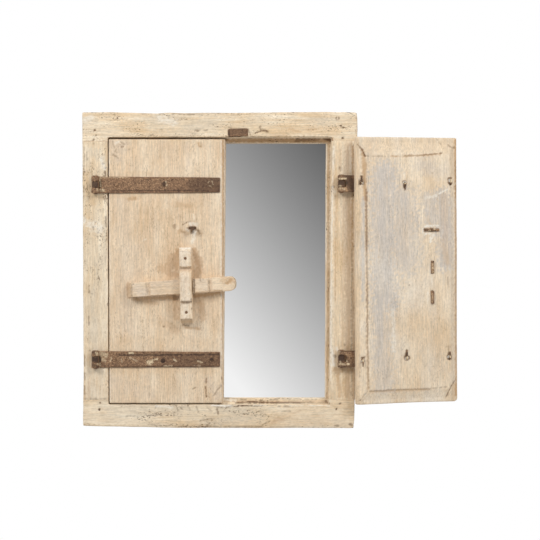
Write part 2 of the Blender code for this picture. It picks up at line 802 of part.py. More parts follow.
def hinge_pins_and_cotters():
    eye = PIN_RADIUS + HINGE_PLAY + COTTER_THICKNESS / 2
    for side in SIDES:
        for level, z in hinge_heights(side):
            post = guide(f"{side}_{level}_cotter_guide", (hinge_x(side), HINGE_Y, z))
            path = hairpin(eye, COTTER_THICKNESS, COTTER_LEG_GAP, AXIS_STANDOFF, COTTER_DEPTH)
            half = COTTER_WIDTH / 2
            strip = prism(ribbon(path, COTTER_THICKNESS), -half, half, top_view)
            piece(f"hinge_cotter_{level}_{side}", strip, WROUGHT_IRON, post, ARC_STEP * 2)
            end = STRAP_WIDTH / 2 + PIN_OVERHANG
            pin = rod(
                [
                    ((0, 0, -end), PIN_RADIUS - PIN_DOME),
                    ((0, 0, PIN_DOME - end), PIN_RADIUS),
                    ((0, 0, end - PIN_DOME), PIN_RADIUS),
                    ((0, 0, end), PIN_RADIUS - PIN_DOME),
                ],
                ROUND_SIDES,
                (1, 0, 0),
            )
            piece(f"hinge_pin_{level}_{side}", pin, WROUGHT_IRON, post, ARC_STEP * 2)


def strap_length(side):
    return min(free_edge(side, z) for z in (HEAD_Z, LEAF_FOOT)) - STRAP_END_SETBACK


def strap(side, length):
    """A strap whose end is rolled round the pin and slotted for the cotter."""
    hand = -SIDES[side]
    middle = KNUCKLE_RADIUS - STRAP_THICKNESS / 2
    roll = arc((0, 0), middle, math.pi * 1.5, KNUCKLE_ROLL_END)
    path = [(length, -middle), *roll]
    outline = [(hand * a, -b) for a, b in ribbon(path, STRAP_THICKNESS)]
    half = STRAP_WIDTH / 2
    mesh = prism(outline, -half, half, top_view)
    taper_share = 1 - STRAP_TIP_WIDTH / STRAP_WIDTH
    for vert in mesh.verts:
        vert.co.z *= 1 - taper_share * max(hand * vert.co.x, 0) / length
    return mesh


def strap_slot(side):
    hand = -SIDES[side]
    half_width = COTTER_WIDTH / 2 + HINGE_PLAY
    ends = sorted((-hand * (KNUCKLE_RADIUS + OVERRUN), hand * SLOT_REACH))
    reach = KNUCKLE_RADIUS + OVERRUN
    return block((ends[0], -reach, -half_width), (ends[1], reach, half_width))


def nail_table(side, level):
    return {
        ("left", "upper"): LEFT_UPPER_NAIL_SHARES,
        ("left", "lower"): LEFT_LOWER_NAIL_SHARES,
        ("right", "upper"): RIGHT_UPPER_NAIL_SHARES,
        ("right", "lower"): RIGHT_LOWER_NAIL_SHARES,
    }[side, level]


def strap_nail(x, z, way):
    """A nail with a hammered head, its point turned over against the inner face."""
    seat = AXIS_STANDOFF - FIT_GAP - STRAP_THICKNESS - FIT_GAP
    inner = AXIS_STANDOFF + FIELD_THICKNESS
    radius, head, height = STRAP_NAIL_RADIUS, STRAP_NAIL_HEAD, STRAP_NAIL_HEAD_HEIGHT
    bend = radius + FIT_GAP
    turned = [
        ((x, inner + bend * math.sin(t), z + way * bend * (1 - math.cos(t))), radius)
        for t in (0, math.pi / 6, math.pi / 3, math.pi / 2)
    ]
    return rod(
        [
            *[
                ((x, seat - height * rise_share, z), head * width_share)
                for rise_share, width_share in CROWN_SHARES
            ],
            ((x, seat, z), head),
            ((x, seat, z), radius),
            *turned,
            ((x, inner + bend - radius / 2, z + way * CLENCH_LENGTH), CLENCH_TIP),
        ],
        NAIL_SIDES,
        (1, 0, 0),
    )


def strap_nail_bore(x, z):
    front = AXIS_STANDOFF - FIT_GAP - STRAP_THICKNESS - OVERRUN
    reach = AXIS_STANDOFF + FIELD_THICKNESS + OVERRUN - front
    return bore((x, front, z), (0, reach, 0), STRAP_NAIL_RADIUS + FIT_GAP)


def strap_nail_places(side, level):
    z = dict(hinge_heights(side))[level]
    start = abs(lip_edge(side, z) - hinge_x(side))
    run = strap_length(side) - start
    for along_share, way in nail_table(side, level):
        yield -SIDES[side] * (start + run * along_share), way


def hang_straps(side, axis):
    """Both straps of a leaf with their nails."""
    for level, z in hinge_heights(side):
        iron = piece(
            f"strap_{level}_{side}", strap(side, strap_length(side)), WROUGHT_IRON, axis, ARC_STEP * 2
        )
        iron.location.z = z
        place = Matrix.Translation((0, 0, z))
        slot = strap_slot(side)
        bmesh.ops.transform(slot, matrix=place, verts=slot.verts)
        change(iron, slot, parent=axis)
        bores = [strap_nail_bore(x, z) for x, _ in strap_nail_places(side, level)]
        change(iron, together(*bores), parent=axis)
        for number, (x, way) in enumerate(strap_nail_places(side, level), 1):
            piece(f"strap_nail_{level}_{side}_{number}", strap_nail(x, z, way), WROUGHT_IRON, axis)


# Leaves
def hinge_edge(side, z):
    """How far the leaf's hinge side lies from the hinge axis, at height z."""
    gap = LEFT_LEAF_SIDE_GAP
    if side == "right":
        gap = between(RIGHT_LEAF_SIDE_GAP_HEAD, RIGHT_LEAF_SIDE_GAP_FOOT, z)
    return abs(face_edge(side, z) - hinge_x(side)) + gap


def free_edge(side, z):
    """How far the leaf's free side lies from the hinge axis, at height z."""
    reach = abs(MEETING_LINE - hinge_x(side)) - MEETING_GAP / 2
    if side == "left":
        return reach - LEFT_LEAF_FOOT_TAPER * down_share(z)
    return reach + RIGHT_LEAF_FOOT_FLARE * down_share(z)


def leaf_heads(side):
    """The leaf's top at its hinge side and at its free side."""
    top = OPENING_HEAD + TOP_LIP
    if side == "left":
        return top - LEFT_LEAF_HEAD_GAP, top - LEFT_LEAF_HEAD_GAP
    return top - RIGHT_LEAF_HEAD_GAP, top - RIGHT_LEAF_HEAD_GAP + RIGHT_LEAF_HEAD_RISE


def leaf_feet(side):
    """The leaf's bottom at its hinge side and at its free side."""
    if side == "left":
        return LEAF_FOOT, LEAF_FOOT
    return LEAF_FOOT, LEAF_FOOT + RIGHT_LEAF_FOOT_RISE


def leaf_outline(side, hinge, free, head, foot):
    """The leaf in the front view from its hinge axis, drawn in by a margin on each side."""
    drawn_in = free if callable(free) else lambda z: free
    hinge_low, free_low = [bottom + foot for bottom in leaf_feet(side)]
    hinge_high, free_high = [top - head for top in leaf_heads(side)]
    corners = [
        (hinge_edge(side, hinge_low) + hinge, hinge_low),
        (free_edge(side, free_low) - drawn_in(free_low), free_low),
        (free_edge(side, free_high) - drawn_in(free_high), free_high),
        (hinge_edge(side, hinge_high) + hinge, hinge_high),
    ]
    return [(-SIDES[side] * a, b) for a, b in corners]


def meeting_chamfer(side):
    """The planed arris on the left leaf's free side, wider at the head than at the foot."""
    if side == "right":
        return lambda z: LEAF_ARRIS
    return lambda z: between(MEETING_CHAMFER_HEAD, MEETING_CHAMFER_FOOT, z)


def leaf_board(side, axis):
    """One plank: flat outside, and a raised and bevelled field inside."""
    worn = LEAF_ARRIS
    front = AXIS_STANDOFF
    edge_start = front + (MEETING_CHAMFER_DEPTH if side == "left" else worn)
    margin_back = front + LEAF_THICKNESS
    field_back = front + FIELD_THICKNESS
    whole = leaf_outline(side, 0, 0, 0, 0)
    mesh = loft(
        [
            (leaf_outline(side, worn, meeting_chamfer(side), worn, worn), front),
            (whole, edge_start),
            (whole, margin_back - worn),
            (leaf_outline(side, worn, worn, worn, worn), margin_back),
            (leaf_outline(side, HINGE_MARGIN, FREE_MARGIN, HEAD_MARGIN, FOOT_MARGIN), margin_back),
            (
                leaf_outline(
                    side,
                    HINGE_MARGIN + HINGE_BEVEL,
                    FREE_MARGIN + FREE_BEVEL,
                    HEAD_MARGIN + HEAD_BEVEL,
                    FOOT_MARGIN + FOOT_BEVEL,
                ),
                field_back,
            ),
        ],
        front_view,
    )
    board = piece(f"{side}_shutter_board", mesh, LEAF_WOOD, axis)
    bores = [
        strap_nail_bore(x, z)
        for level, z in hinge_heights(side)
        for x, _ in strap_nail_places(side, level)
    ]
    return change(board, together(*bores), parent=axis)


# Chain staples
def chain_staple(side, axis, board):
    place, z = (
        (LEFT_CHAIN_PLACE, at_drop(LEFT_CHAIN_DROP_SHARE))
        if side == "left"
        else (RIGHT_CHAIN_PLACE, at_drop(RIGHT_CHAIN_DROP_SHARE))
    )
    thickness, half = CHAIN_STRIP_THICKNESS, CHAIN_STRIP_WIDTH / 2
    path = hairpin(
        CHAIN_EYE_RADIUS, thickness, COTTER_LEG_GAP, CHAIN_EYE_STANDOFF, FIELD_THICKNESS, CHAIN_CLENCH
    )
    strip = prism(ribbon(path, thickness), -half, half, top_view)
    x = -SIDES[side] * place
    seat = Matrix.Translation((x, AXIS_STANDOFF - CHAIN_EYE_STANDOFF, z))
    bmesh.ops.transform(strip, matrix=seat, verts=strip.verts)
    piece(f"{side}_chain_staple", strip, WROUGHT_IRON, axis, ARC_STEP * 2)
    half_slot = thickness + COTTER_LEG_GAP / 2 + FIT_GAP
    slot = block(
        (x - half_slot, AXIS_STANDOFF - OVERRUN, z - half - FIT_GAP),
        (x + half_slot, AXIS_STANDOFF + FIELD_THICKNESS + OVERRUN, z + half + FIT_GAP),
    )
    change(board, slot, parent=axis)


# Bolt and keeper
def bolt_neck():
    """Where the bolt's plain neck starts and ends, from its left end."""
    start = LUG_RAMP + LEFT_LUG_LENGTH + LUG_RAMP
    end = (KEEPER_PLACE + KEEPER_WIDTH / 2 + KEEPER_DRAFT - BOLT_START) / math.cos(BOLT_TILT)
    return start, end + BOLT_STOP_GAP


def bolt_travel():
    start, end = bolt_neck()
    return end - start - (KEEPER_WIDTH + 2 * KEEPER_DRAFT) / math.cos(BOLT_TILT) - 2 * BOLT_STOP_GAP


def bolt_length():
    return bolt_neck()[1] + RIGHT_LUG_LENGTH + TONGUE_LENGTH


def bolt_guide(axis):
    return guide(
        "bolt_guide",
        (BOLT_START, AXIS_STANDOFF, at_drop(BOLT_DROP_SHARE)),
        axis,
        (0.0, -BOLT_TILT, 0.0),
    )


def latch_bolt(line):
    """A bar with two thick lugs that stop it against the keeper, and a tongue with a rounded tip."""
    neck_start, neck_end = bolt_neck()
    lug_end = neck_end + RIGHT_LUG_LENGTH
    length = bolt_length()
    thin, thick, seat = BOLT_THICKNESS + BOLT_SEAT, LUG_THICKNESS + BOLT_SEAT, BOLT_SEAT
    side = [
        (0, seat),
        (0, seat + LUG_TOE),
        (LUG_RAMP, thick),
        (LUG_RAMP + LEFT_LUG_LENGTH, thick),
        (neck_start, thin),
        (neck_end, thin),
        (neck_end, thick),
        (lug_end, thick),
        (lug_end, thin),
        (length, thin),
        (length, seat),
    ]
    half = BOLT_HEIGHT / 2
    bar = softened(prism([(a, -b) for a, b in side], -half, half, top_view), BOLT_ARRIS, 1)
    bolt = piece("latch_bolt", bar, LEAF_WOOD, line)
    tip = BOLT_TIP_RADIUS
    front = [
        (-OVERRUN, -half - OVERRUN),
        (length - tip, -half - OVERRUN),
        *arc((length - tip, tip - half), tip, -math.pi / 2, 0),
        *arc((length - tip, half - tip), tip, 0, math.pi / 2),
        (length - tip, half + OVERRUN),
        (-OVERRUN, half + OVERRUN),
    ]
    change(bolt, prism(front, -thick - OVERRUN, OVERRUN, front_view), "INTERSECT", line)


def keeper_profile():
    """The keeper from the side: how far it falls from its top, and how far it stands proud."""
    upper_end = KEEPER_UPPER_BLOCK + KEEPER_TOP_BEVEL
    arch_start = upper_end + KEEPER_GROOVE
    arch_end = arch_start + KEEPER_ARCH
    bridge_end = arch_end + KEEPER_BRIDGE
    lower_start = bridge_end + KEEPER_SAW_KERF
    lower_end = lower_start + KEEPER_LOWER_BLOCK
    rise = KEEPER_BRIDGE_PROUD - KEEPER_GROOVE_PROUD
    arch_shares = (0.25, 0.5, 0.75)
    return [
        (0, FIT_GAP),
        (0, KEEPER_TOP_PROUD),
        (KEEPER_TOP_BEVEL, KEEPER_BLOCK_PROUD),
        (upper_end, KEEPER_BLOCK_PROUD),
        (upper_end, KEEPER_GROOVE_PROUD),
        (arch_start, KEEPER_GROOVE_PROUD),
        *[
            (
                arch_start + KEEPER_ARCH * arch_share,
                KEEPER_GROOVE_PROUD + rise * math.sin(math.pi / 2 * arch_share),
            )
            for arch_share in arch_shares
        ],
        (arch_end, KEEPER_BRIDGE_PROUD),
        (bridge_end, KEEPER_BRIDGE_PROUD),
        (bridge_end, KEEPER_SAW_PROUD),
        (lower_start, KEEPER_SAW_PROUD),
        (lower_start, KEEPER_BLOCK_PROUD),
        (lower_end, KEEPER_BLOCK_PROUD),
        (lower_end + KEEPER_FOOT_BEVEL, KEEPER_FOOT_PROUD),
        (lower_end + KEEPER_FOOT_BEVEL, FIT_GAP),
    ]


def bolt_keeper(axis, line, board):
    """A carved bridge nailed over the bolt, its sides drawn in a little towards the front."""
    outline = [(-proud, -fall) for fall, proud in keeper_profile()]
    half = KEEPER_WIDTH / 2 + KEEPER_DRAFT
    mesh = prism(outline, -half, half, side_view)
    for vert in mesh.verts:
        draft = KEEPER_DRAFT * (-vert.co.y / KEEPER_BRIDGE_PROUD)
        vert.co.x -= math.copysign(draft, vert.co.x)
    seat = guide(
        "keeper_guide",
        (KEEPER_PLACE, AXIS_STANDOFF, at_drop(BOLT_DROP_SHARE) + KEEPER_RISE),
        axis,
        (0.0, -KEEPER_TURN, 0.0),
    )
    keeper = piece("bolt_keeper", mesh, LEAF_WOOD, seat)
    wear = keeper.modifiers.new("worn_arris", "BEVEL")
    wear.width = KEEPER_ARRIS
    wear.segments = 1
    wear.limit_method = "ANGLE"
    wear.angle_limit = WEAR_ANGLE
    half_height = BOLT_HEIGHT / 2 + BOLT_PLAY
    tunnel = block(
        (0, -BOLT_SEAT - BOLT_THICKNESS - BOLT_PLAY, -half_height), (bolt_length(), OVERRUN, half_height)
    )
    change(keeper, tunnel, parent=line)
    front = -KEEPER_BLOCK_PROUD
    for level, fall in (("upper", KEEPER_UPPER_NAIL_DROP), ("lower", KEEPER_LOWER_NAIL_DROP)):
        piece(f"keeper_nail_{level}", keeper_nail(front, -fall), WROUGHT_IRON, seat)
        for target in (keeper, board):
            change(target, keeper_nail_bore(front, -fall), parent=seat)


def keeper_nail(front, z):
    head_seat = front + KEEPER_NAIL_HEAD_HEIGHT
    tip = FIT_GAP + KEEPER_NAIL_BITE
    radius, head = KEEPER_NAIL_RADIUS, KEEPER_NAIL_HEAD
    return rod(
        [
            ((0, front, z), head),
            ((0, head_seat, z), head),
            ((0, head_seat, z), radius),
            ((0, tip - radius * POINT_LENGTH_SHARE, z), radius),
            ((0, tip, z), radius * POINT_END_SHARE),
        ],
        NAIL_SIDES,
        (0, 0, 1),
    )


def keeper_nail_bore(front, z):
    head_seat = front + KEEPER_NAIL_HEAD_HEIGHT + FIT_GAP
    end = FIT_GAP + KEEPER_NAIL_BITE + FIT_GAP
    radius, head = KEEPER_NAIL_RADIUS + FIT_GAP, KEEPER_NAIL_HEAD + FIT_GAP
    return rod(
        [
            ((0, front - OVERRUN, z), head),
            ((0, head_seat, z), head),
            ((0, head_seat, z), radius),
            ((0, end, z), radius),
        ],
        NAIL_SIDES,
        (0, 0, 1),
    )


# Catch
def catch_height():
    """Where the bolt's middle passes over the shut right leaf."""
    along = hinge_x("right") - CATCH_PLACE - hinge_x("left") - BOLT_START
    return at_drop(BOLT_DROP_SHARE) + along * math.tan(BOLT_TILT)


def bolt_catch(axis, board):
    """A strip bent into a staple that the bolt enters, its ends driven through and clenched."""
    thickness = CATCH_THICKNESS
    half = (BOLT_HEIGHT / math.cos(BOLT_TILT) + thickness) / 2 + CATCH_PLAY
    corner = CATCH_CORNER
    proud = CATCH_PROUD
    bend = thickness / 2 + FIT_GAP
    inner = FIELD_THICKNESS
    upper = [
        *arc((half - corner, corner - proud), corner, -math.pi / 2, 0, BEND_STEP),
        *arc((half + bend, inner), bend, math.pi, math.pi / 2, BEND_STEP),
        (half + bend + CATCH_CLENCH, inner + bend),
    ]
    path = [*[(-a, b) for a, b in reversed(upper)], *upper]
    strip = prism(
        [(b, a) for a, b in ribbon(path, thickness)], -CATCH_WIDTH / 2, CATCH_WIDTH / 2, side_view
    )
    x, z = -CATCH_PLACE, catch_height()
    place = Matrix.Translation((x, AXIS_STANDOFF, z))
    bmesh.ops.transform(strip, matrix=place, verts=strip.verts)
    piece("bolt_catch", strip, WROUGHT_IRON, axis, ARC_STEP * 2)
    slots = []
    for leg in (z - half, z + half):
        reach = thickness / 2 + FIT_GAP
        width = CATCH_WIDTH / 2 + FIT_GAP
        slots.append(
            block(
                (x - width, AXIS_STANDOFF - OVERRUN, leg - reach),
                (x + width, AXIS_STANDOFF + inner + OVERRUN, leg + reach),
            )
        )
    change(board, together(*slots), parent=axis)


# The whole window
def build():
    rails()
    stiles()
    corner_nails()
    mirror_and_backing()
    battens()
    hanging_eyes()
    hinge_pins_and_cotters()

    left_axis = guide("left_hinge_axis", (hinge_x("left"), HINGE_Y, 0))
    left_board = leaf_board("left", left_axis)
    hang_straps("left", left_axis)
    chain_staple("left", left_axis, left_board)
    line = bolt_guide(left_axis)
    latch_bolt(line)
    bolt_keeper(left_axis, line, left_board)

    right_axis = guide("right_hinge_axis", (hinge_x("right"), HINGE_Y, 0), turn=(0, 0, RIGHT_OPEN_ANGLE))
    right_board = leaf_board("right", right_axis)
    hang_straps("right", right_axis)
    chain_staple("right", right_axis, right_board)
    bolt_catch(right_axis, right_board)


build()
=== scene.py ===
"""Looks of the window mirror: worn timbers, planks and irons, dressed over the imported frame.

Metres, +Z up, front towards -Y, in the same place as the solids.
"""

import json
import math

import bmesh
import bpy
import numpy as np
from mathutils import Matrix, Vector, noise


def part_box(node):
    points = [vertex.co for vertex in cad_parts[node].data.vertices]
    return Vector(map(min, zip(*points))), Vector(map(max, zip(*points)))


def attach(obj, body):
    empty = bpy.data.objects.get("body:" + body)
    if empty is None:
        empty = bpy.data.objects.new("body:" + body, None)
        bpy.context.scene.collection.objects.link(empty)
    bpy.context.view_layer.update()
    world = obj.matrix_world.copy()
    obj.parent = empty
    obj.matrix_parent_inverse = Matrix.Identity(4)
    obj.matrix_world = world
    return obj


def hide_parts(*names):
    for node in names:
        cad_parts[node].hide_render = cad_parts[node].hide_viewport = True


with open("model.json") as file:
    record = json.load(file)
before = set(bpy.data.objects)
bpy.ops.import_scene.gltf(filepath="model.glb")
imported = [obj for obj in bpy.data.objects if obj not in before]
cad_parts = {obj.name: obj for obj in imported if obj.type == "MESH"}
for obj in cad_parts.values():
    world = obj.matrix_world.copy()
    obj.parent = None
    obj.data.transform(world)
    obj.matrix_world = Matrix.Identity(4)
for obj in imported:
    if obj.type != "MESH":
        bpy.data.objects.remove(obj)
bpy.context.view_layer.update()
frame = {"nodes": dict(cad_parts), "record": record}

BODY_OF = {
    node: body for body, nodes in frame["record"]["behaviour"]["bodies"].items() for node in nodes
}

X, Y, Z = range(3)

# Camera: level, looking straight at the middle of the picture, which is so many pixels wide
PICTURE = 540
PIXEL = 0.0018
AIM = Vector((0.09045, -0.050, -0.2567))
DISTANCE = 2.1
SENSOR = 0.036
LENS = SENSOR * DISTANCE / (PICTURE * PIXEL)
EYE = AIM - Vector((0, DISTANCE, 0))


# Marks are placed by pixels of the picture, so a point needs its pixel
def pixels(points):
    """Where points fall in the picture at rest, across and down."""
    rel = points - np.array(EYE)
    focal = PICTURE * LENS / SENSOR
    across = PICTURE / 2 + rel[:, X] / rel[:, Y] * focal
    down = PICTURE / 2 - rel[:, Z] / rel[:, Y] * focal
    return across, down


# Kinds of mark, each painted as an amount on the mesh. Shade is painted shade, and lime also paints
# highlights. Sound timber has no pits
MARK_KINDS = DARK, LIME_AND_HIGHLIGHT, TAN, GREY, SHADE, SOUND = "dark", "lime", "tan", "grey", "shade", "sound"

# Colours that marks and rust bring in: the brown of painted shade, and the pale of lime that also serves
# for painted highlights
WOOD_SHADE, WOOD_LIME_AND_HIGHLIGHT = "#BC966E", "#F3ECDF"
RUST_BROWN, RUST_TAN, RUST_DARK = "#52392B", "#997759", "#38261D"
RUST_DUST, RUST_LIME_AND_HIGHLIGHT = "#C3A07A", "#DCC8A6"


# Colour and shader nodes
def linear(code):
    """A hex colour as linear light."""
    parts = [int(code[i : i + 2], 16) / 255 for i in (1, 3, 5)]
    return (*[v / 12.92 if v <= 0.04045 else ((v + 0.055) / 1.055) ** 2.4 for v in parts], 1.0)


def feed(tree, node, inputs):
    """Set a node's inputs, or link them. A text is a hex colour."""
    for key, value in inputs.items():
        if isinstance(value, bpy.types.NodeSocket):
            tree.links.new(value, node.inputs[key])
        else:
            node.inputs[key].default_value = linear(value) if isinstance(value, str) else value


def add(tree, kind, inputs=None, **settings):
    """The outputs of a new shader node with these inputs and settings."""
    made = tree.nodes.new(kind)
    for name, value in settings.items():
        setattr(made, name, value)
    feed(tree, made, inputs or {})
    return made.outputs


def fresh_material(name):
    made = bpy.data.materials.new(name)
    made.use_nodes = True
    tree = made.node_tree
    return made, tree, tree.nodes["Principled BSDF"]


def painted(tree, kind):
    """The amount of one kind of mark."""
    return add(tree, "ShaderNodeAttribute", attribute_name=kind)["Fac"]


def stretched_noise(tree, along, across, shift, detail, roughness=0.5, distortion=0.0):
    """Noise from 0 to 1 whose figure is so long and so wide, in metres, along and across the grain."""
    grain = add(tree, "ShaderNodeAttribute", attribute_name="grain")["Vector"]
    place = {0: grain, 1: (shift, shift, shift), 3: (1 / along, 1 / across, 1 / across)}
    figure = {
        "Vector": add(tree, "ShaderNodeMapping", place)[0],
        "Scale": 1.0,
        "Detail": detail,
        "Roughness": roughness,
        "Distortion": distortion,
    }
    return add(tree, "ShaderNodeTexNoise", figure)[0]


def even_noise(tree, scale, detail, roughness=0.5):
    """Noise from 0 to 1 that is alike in every direction, with so many lumps to a metre."""
    place = add(tree, "ShaderNodeTexCoord")["Object"]
    figure = {"Vector": place, "Scale": scale, "Detail": detail, "Roughness": roughness}
    return add(tree, "ShaderNodeTexNoise", figure)[0]


def spread(tree, value, low, high, least=0.0, most=1.0, **settings):
    """The value from low to high, spread from least to most."""
    inputs = {0: value, 1: low, 2: high, 3: least, 4: most}
    return add(tree, "ShaderNodeMapRange", inputs, **settings)[0]


def mixed(tree, share, first, second, blend="MIX"):
    inputs = {0: share, 6: first, 7: second}
    return add(tree, "ShaderNodeMix", inputs, data_type="RGBA", blend_type=blend)[2]


def reckoned(tree, operation, first, second, use_clamp=True):
    """Two values added, multiplied and so on, kept from 0 to 1 unless told otherwise."""
    inputs = {0: first, 1: second}
    return add(tree, "ShaderNodeMath", inputs, operation=operation, use_clamp=use_clamp)[0]


def bumped(tree, height, strength, distance):
    """Normals for a relief of that depth in metres."""
    inputs = {"Strength": strength, "Distance": distance, "Height": height}
    return add(tree, "ShaderNodeBump", inputs)[0]


def weathered_wood(name, cream, tan, grey, brown, roughness, streak_depth, grey_share, pit_share):
    """Old softened timber: streaks, fibres, grey weathering and small dark pits."""
    made, tree, shader = fresh_material(name)
    ragged = stretched_noise(tree, 0.006, 0.0035, shift=23, detail=4, roughness=0.7)

    def drawn(kind, figure, low, high, least, most):
        """A mark's amount, broken up by a figure of the timber."""
        return reckoned(tree, "MULTIPLY", painted(tree, kind), spread(tree, figure, low, high, least, most))

    # Streaks of early and late wood, 4 mm wide and 110 mm long, inside broad warm and pale areas
    streaks = stretched_noise(tree, 0.11, 0.004, shift=0, detail=4, roughness=0.65, distortion=0.3)
    warmth = stretched_noise(tree, 0.10, 0.035, shift=5, detail=5, roughness=0.6)
    streak_share = spread(tree, streaks, 0.30, 0.70, 0.5 - streak_depth / 2, 0.5 + streak_depth / 2)
    warm_share = spread(tree, warmth, 0.35, 0.65, -0.35, 0.35)
    tan_share = reckoned(tree, "ADD", streak_share, warm_share)
    colour = mixed(tree, tan_share, cream, tan)

    # Grey weathering, in areas 90 mm long and 30 mm wide, and where it is marked
    areas = stretched_noise(tree, 0.09, 0.03, shift=7, detail=6, roughness=0.68)
    grey_areas = spread(tree, areas, 0.46, 0.66, 0.0, grey_share)
    grey_total = reckoned(tree, "ADD", grey_areas, drawn(GREY, streaks, 0.25, 0.6, 0.35, 1.0))
    colour = mixed(tree, grey_total, colour, grey)
    colour = mixed(tree, drawn(TAN, ragged, 0.2, 0.7, 0.5, 1.0), colour, tan)

    # Fibres: real ones are under 1 mm, drawn 1.6 mm wide so that they show
    fibres = stretched_noise(tree, 0.022, 0.0016, shift=3, detail=3, roughness=0.75)
    colour = mixed(tree, 1.0, colour, spread(tree, fibres, 0.30, 0.70, 0.80, 1.14), "MULTIPLY")
    colour = mixed(tree, 1.0, colour, spread(tree, ragged, 0.30, 0.70, 0.88, 1.10), "MULTIPLY")

    # Pits and short splits, 1.3 mm wide and 4 mm long, thick in some areas and none in sound timber
    pits = stretched_noise(tree, 0.004, 0.0013, shift=11, detail=2)
    crowd = stretched_noise(tree, 0.05, 0.015, shift=19, detail=4, roughness=0.6)
    pit_depth = reckoned(tree, "ADD", pits, spread(tree, crowd, 0.42, 0.66, 0.0, 0.19))
    pit_amount = spread(tree, pit_depth, 0.70, 0.82, 0.0, pit_share)
    pit_amount = reckoned(tree, "SUBTRACT", pit_amount, painted(tree, SOUND))
    dark_total = reckoned(tree, "ADD", pit_amount, painted(tree, DARK))
    # Painted shade in brown where shade is marked, then the pits and dark marks
    colour = mixed(tree, painted(tree, SHADE), colour, WOOD_SHADE)
    colour = mixed(tree, dark_total, colour, brown)

    # Lime and old paint left in the grain, and painted highlights along some arrises
    colour = mixed(tree, drawn(LIME_AND_HIGHLIGHT, ragged, 0.35, 0.6, 0.25, 1.2), colour, WOOD_LIME_AND_HIGHLIGHT)

    relief = reckoned(tree, "SUBTRACT", fibres, dark_total, use_clamp=False)
    normal = bumped(tree, relief, strength=0.55, distance=0.0006)
    inputs = {"Base Color": colour, "Roughness": roughness, "Specular IOR Level": 0.25, "Normal": normal}
    feed(tree, shader, inputs)
    return made


def rusted_iron(name):
    """Hand-forged strap iron under dry brown rust, with dust and old lime caught in its hollows."""
    made, tree, shader = fresh_material(name)

    # Scale and rust in patches 4 mm across
    scale = even_noise(tree, 250, detail=5, roughness=0.75)
    colour = mixed(tree, spread(tree, scale, 0.35, 0.65), RUST_BROWN, RUST_TAN)

    # Dust and lime in specks 2 mm across, thick where they are marked
    specks = even_noise(tree, 450, detail=6, roughness=0.75)
    crowding = spread(tree, painted(tree, GREY), 0.0, 1.0, 0.0, 0.12)
    speck_share = spread(tree, reckoned(tree, "ADD", specks, crowding), 0.55, 0.64, 0.0, 0.75)
    colour = mixed(tree, speck_share, colour, RUST_DUST)
    colour = mixed(tree, painted(tree, DARK), colour, RUST_DARK)
    # Lime crusts where lime is marked, which also stand for painted highlights on the upper hinge's knuckle
    crust_and_highlight = reckoned(tree, "MULTIPLY", painted(tree, LIME_AND_HIGHLIGHT), spread(tree, specks, 0.38, 0.58, 0.15, 1.25))
    colour = mixed(tree, crust_and_highlight, colour, RUST_LIME_AND_HIGHLIGHT)

    roughness = spread(tree, scale, 0.0, 1.0, 0.55, 0.9)
    normal = bumped(tree, scale, strength=0.7, distance=0.0008)
    feed(tree, shader, {"Base Color": colour, "Metallic": 0.35, "Roughness": roughness, "Normal": normal})
    return made


def silvered_glass(name):
    """Float glass silvered behind: a clear flat reflection, slightly grey."""
    made, tree, shader = fresh_material(name)
    # Ripples of the glass, 80 mm across and far too shallow to see as such
    roughness = spread(tree, even_noise(tree, 12, detail=1), 0.0, 1.0, 0.012, 0.03)
    feed(tree, shader, {"Base Color": "#F2F2F2", "Metallic": 1.0, "Roughness": roughness})
    return made


def plain_plywood(name):
    """Poplar plywood and sawn battens: even pale face with faint rotary grain."""
    made, tree, shader = fresh_material(name)
    place = add(tree, "ShaderNodeTexCoord")["Object"]
    stretched = add(tree, "ShaderNodeMapping", {0: place, 3: (60.0, 60.0, 6.0)})[0]
    inputs = {"Vector": stretched, "Scale": 1.0, "Detail": 5.0, "Distortion": 0.8}
    figure = add(tree, "ShaderNodeTexNoise", inputs)[0]
    colour = mixed(tree, spread(tree, figure, 0.3, 0.7), "#CFAE7E", "#B48E5C")
    normal = bumped(tree, figure, strength=0.3, distance=0.0003)
    feed(tree, shader, {"Base Color": colour, "Roughness": 0.8, "Normal": normal})
    return made


def zinc_plate(name):
    """Drawn steel wire, bright zinc plated, dulled by handling."""
    made, tree, shader = fresh_material(name)
    bloom = even_noise(tree, 500, detail=2)
    colour = mixed(tree, bloom, "#C6C7C4", "#A9AAA8")
    roughness = spread(tree, bloom, 0.0, 1.0, 0.3, 0.5)
    feed(tree, shader, {"Base Color": colour, "Metallic": 1.0, "Roughness": roughness})
    return made


LIMED_TIMBER = weathered_wood(
    "limed_reclaimed_timber", cream="#F6E7CE", tan="#DDC099", grey="#DBCBB3", brown="#6B5038",
    roughness=0.92, streak_depth=0.8, grey_share=0.7, pit_share=1.0,
)
INNER_PLANK = weathered_wood(
    "sanded_bleached_plank_inner_face", cream="#F3E3CB", tan="#DEC3A0", grey="#D0C6BB", brown="#7A5C40",
    roughness=0.9, streak_depth=0.35, grey_share=0.4, pit_share=0.3,
)
SANDED_PLANK = weathered_wood(
    "sanded_bleached_plank", cream="#F0DEC4", tan="#DABD9A", grey="#D8C5B0", brown="#7A5C40",
    roughness=0.9, streak_depth=0.5, grey_share=0.25, pit_share=0.35,
)
RUSTED_IRON = rusted_iron("rusted_wrought_iron")
SILVERED_GLASS = silvered_glass("silvered_glass")
PLYWOOD = plain_plywood("plain_plywood")
ZINC = zinc_plate("zinc_plated_steel_wire")


# Worn copies of the solids. A seed shifts the noise, in lumps, and the grain's figure, in metres
SEED_STEP, GRAIN_STEP = 7.31, 0.37
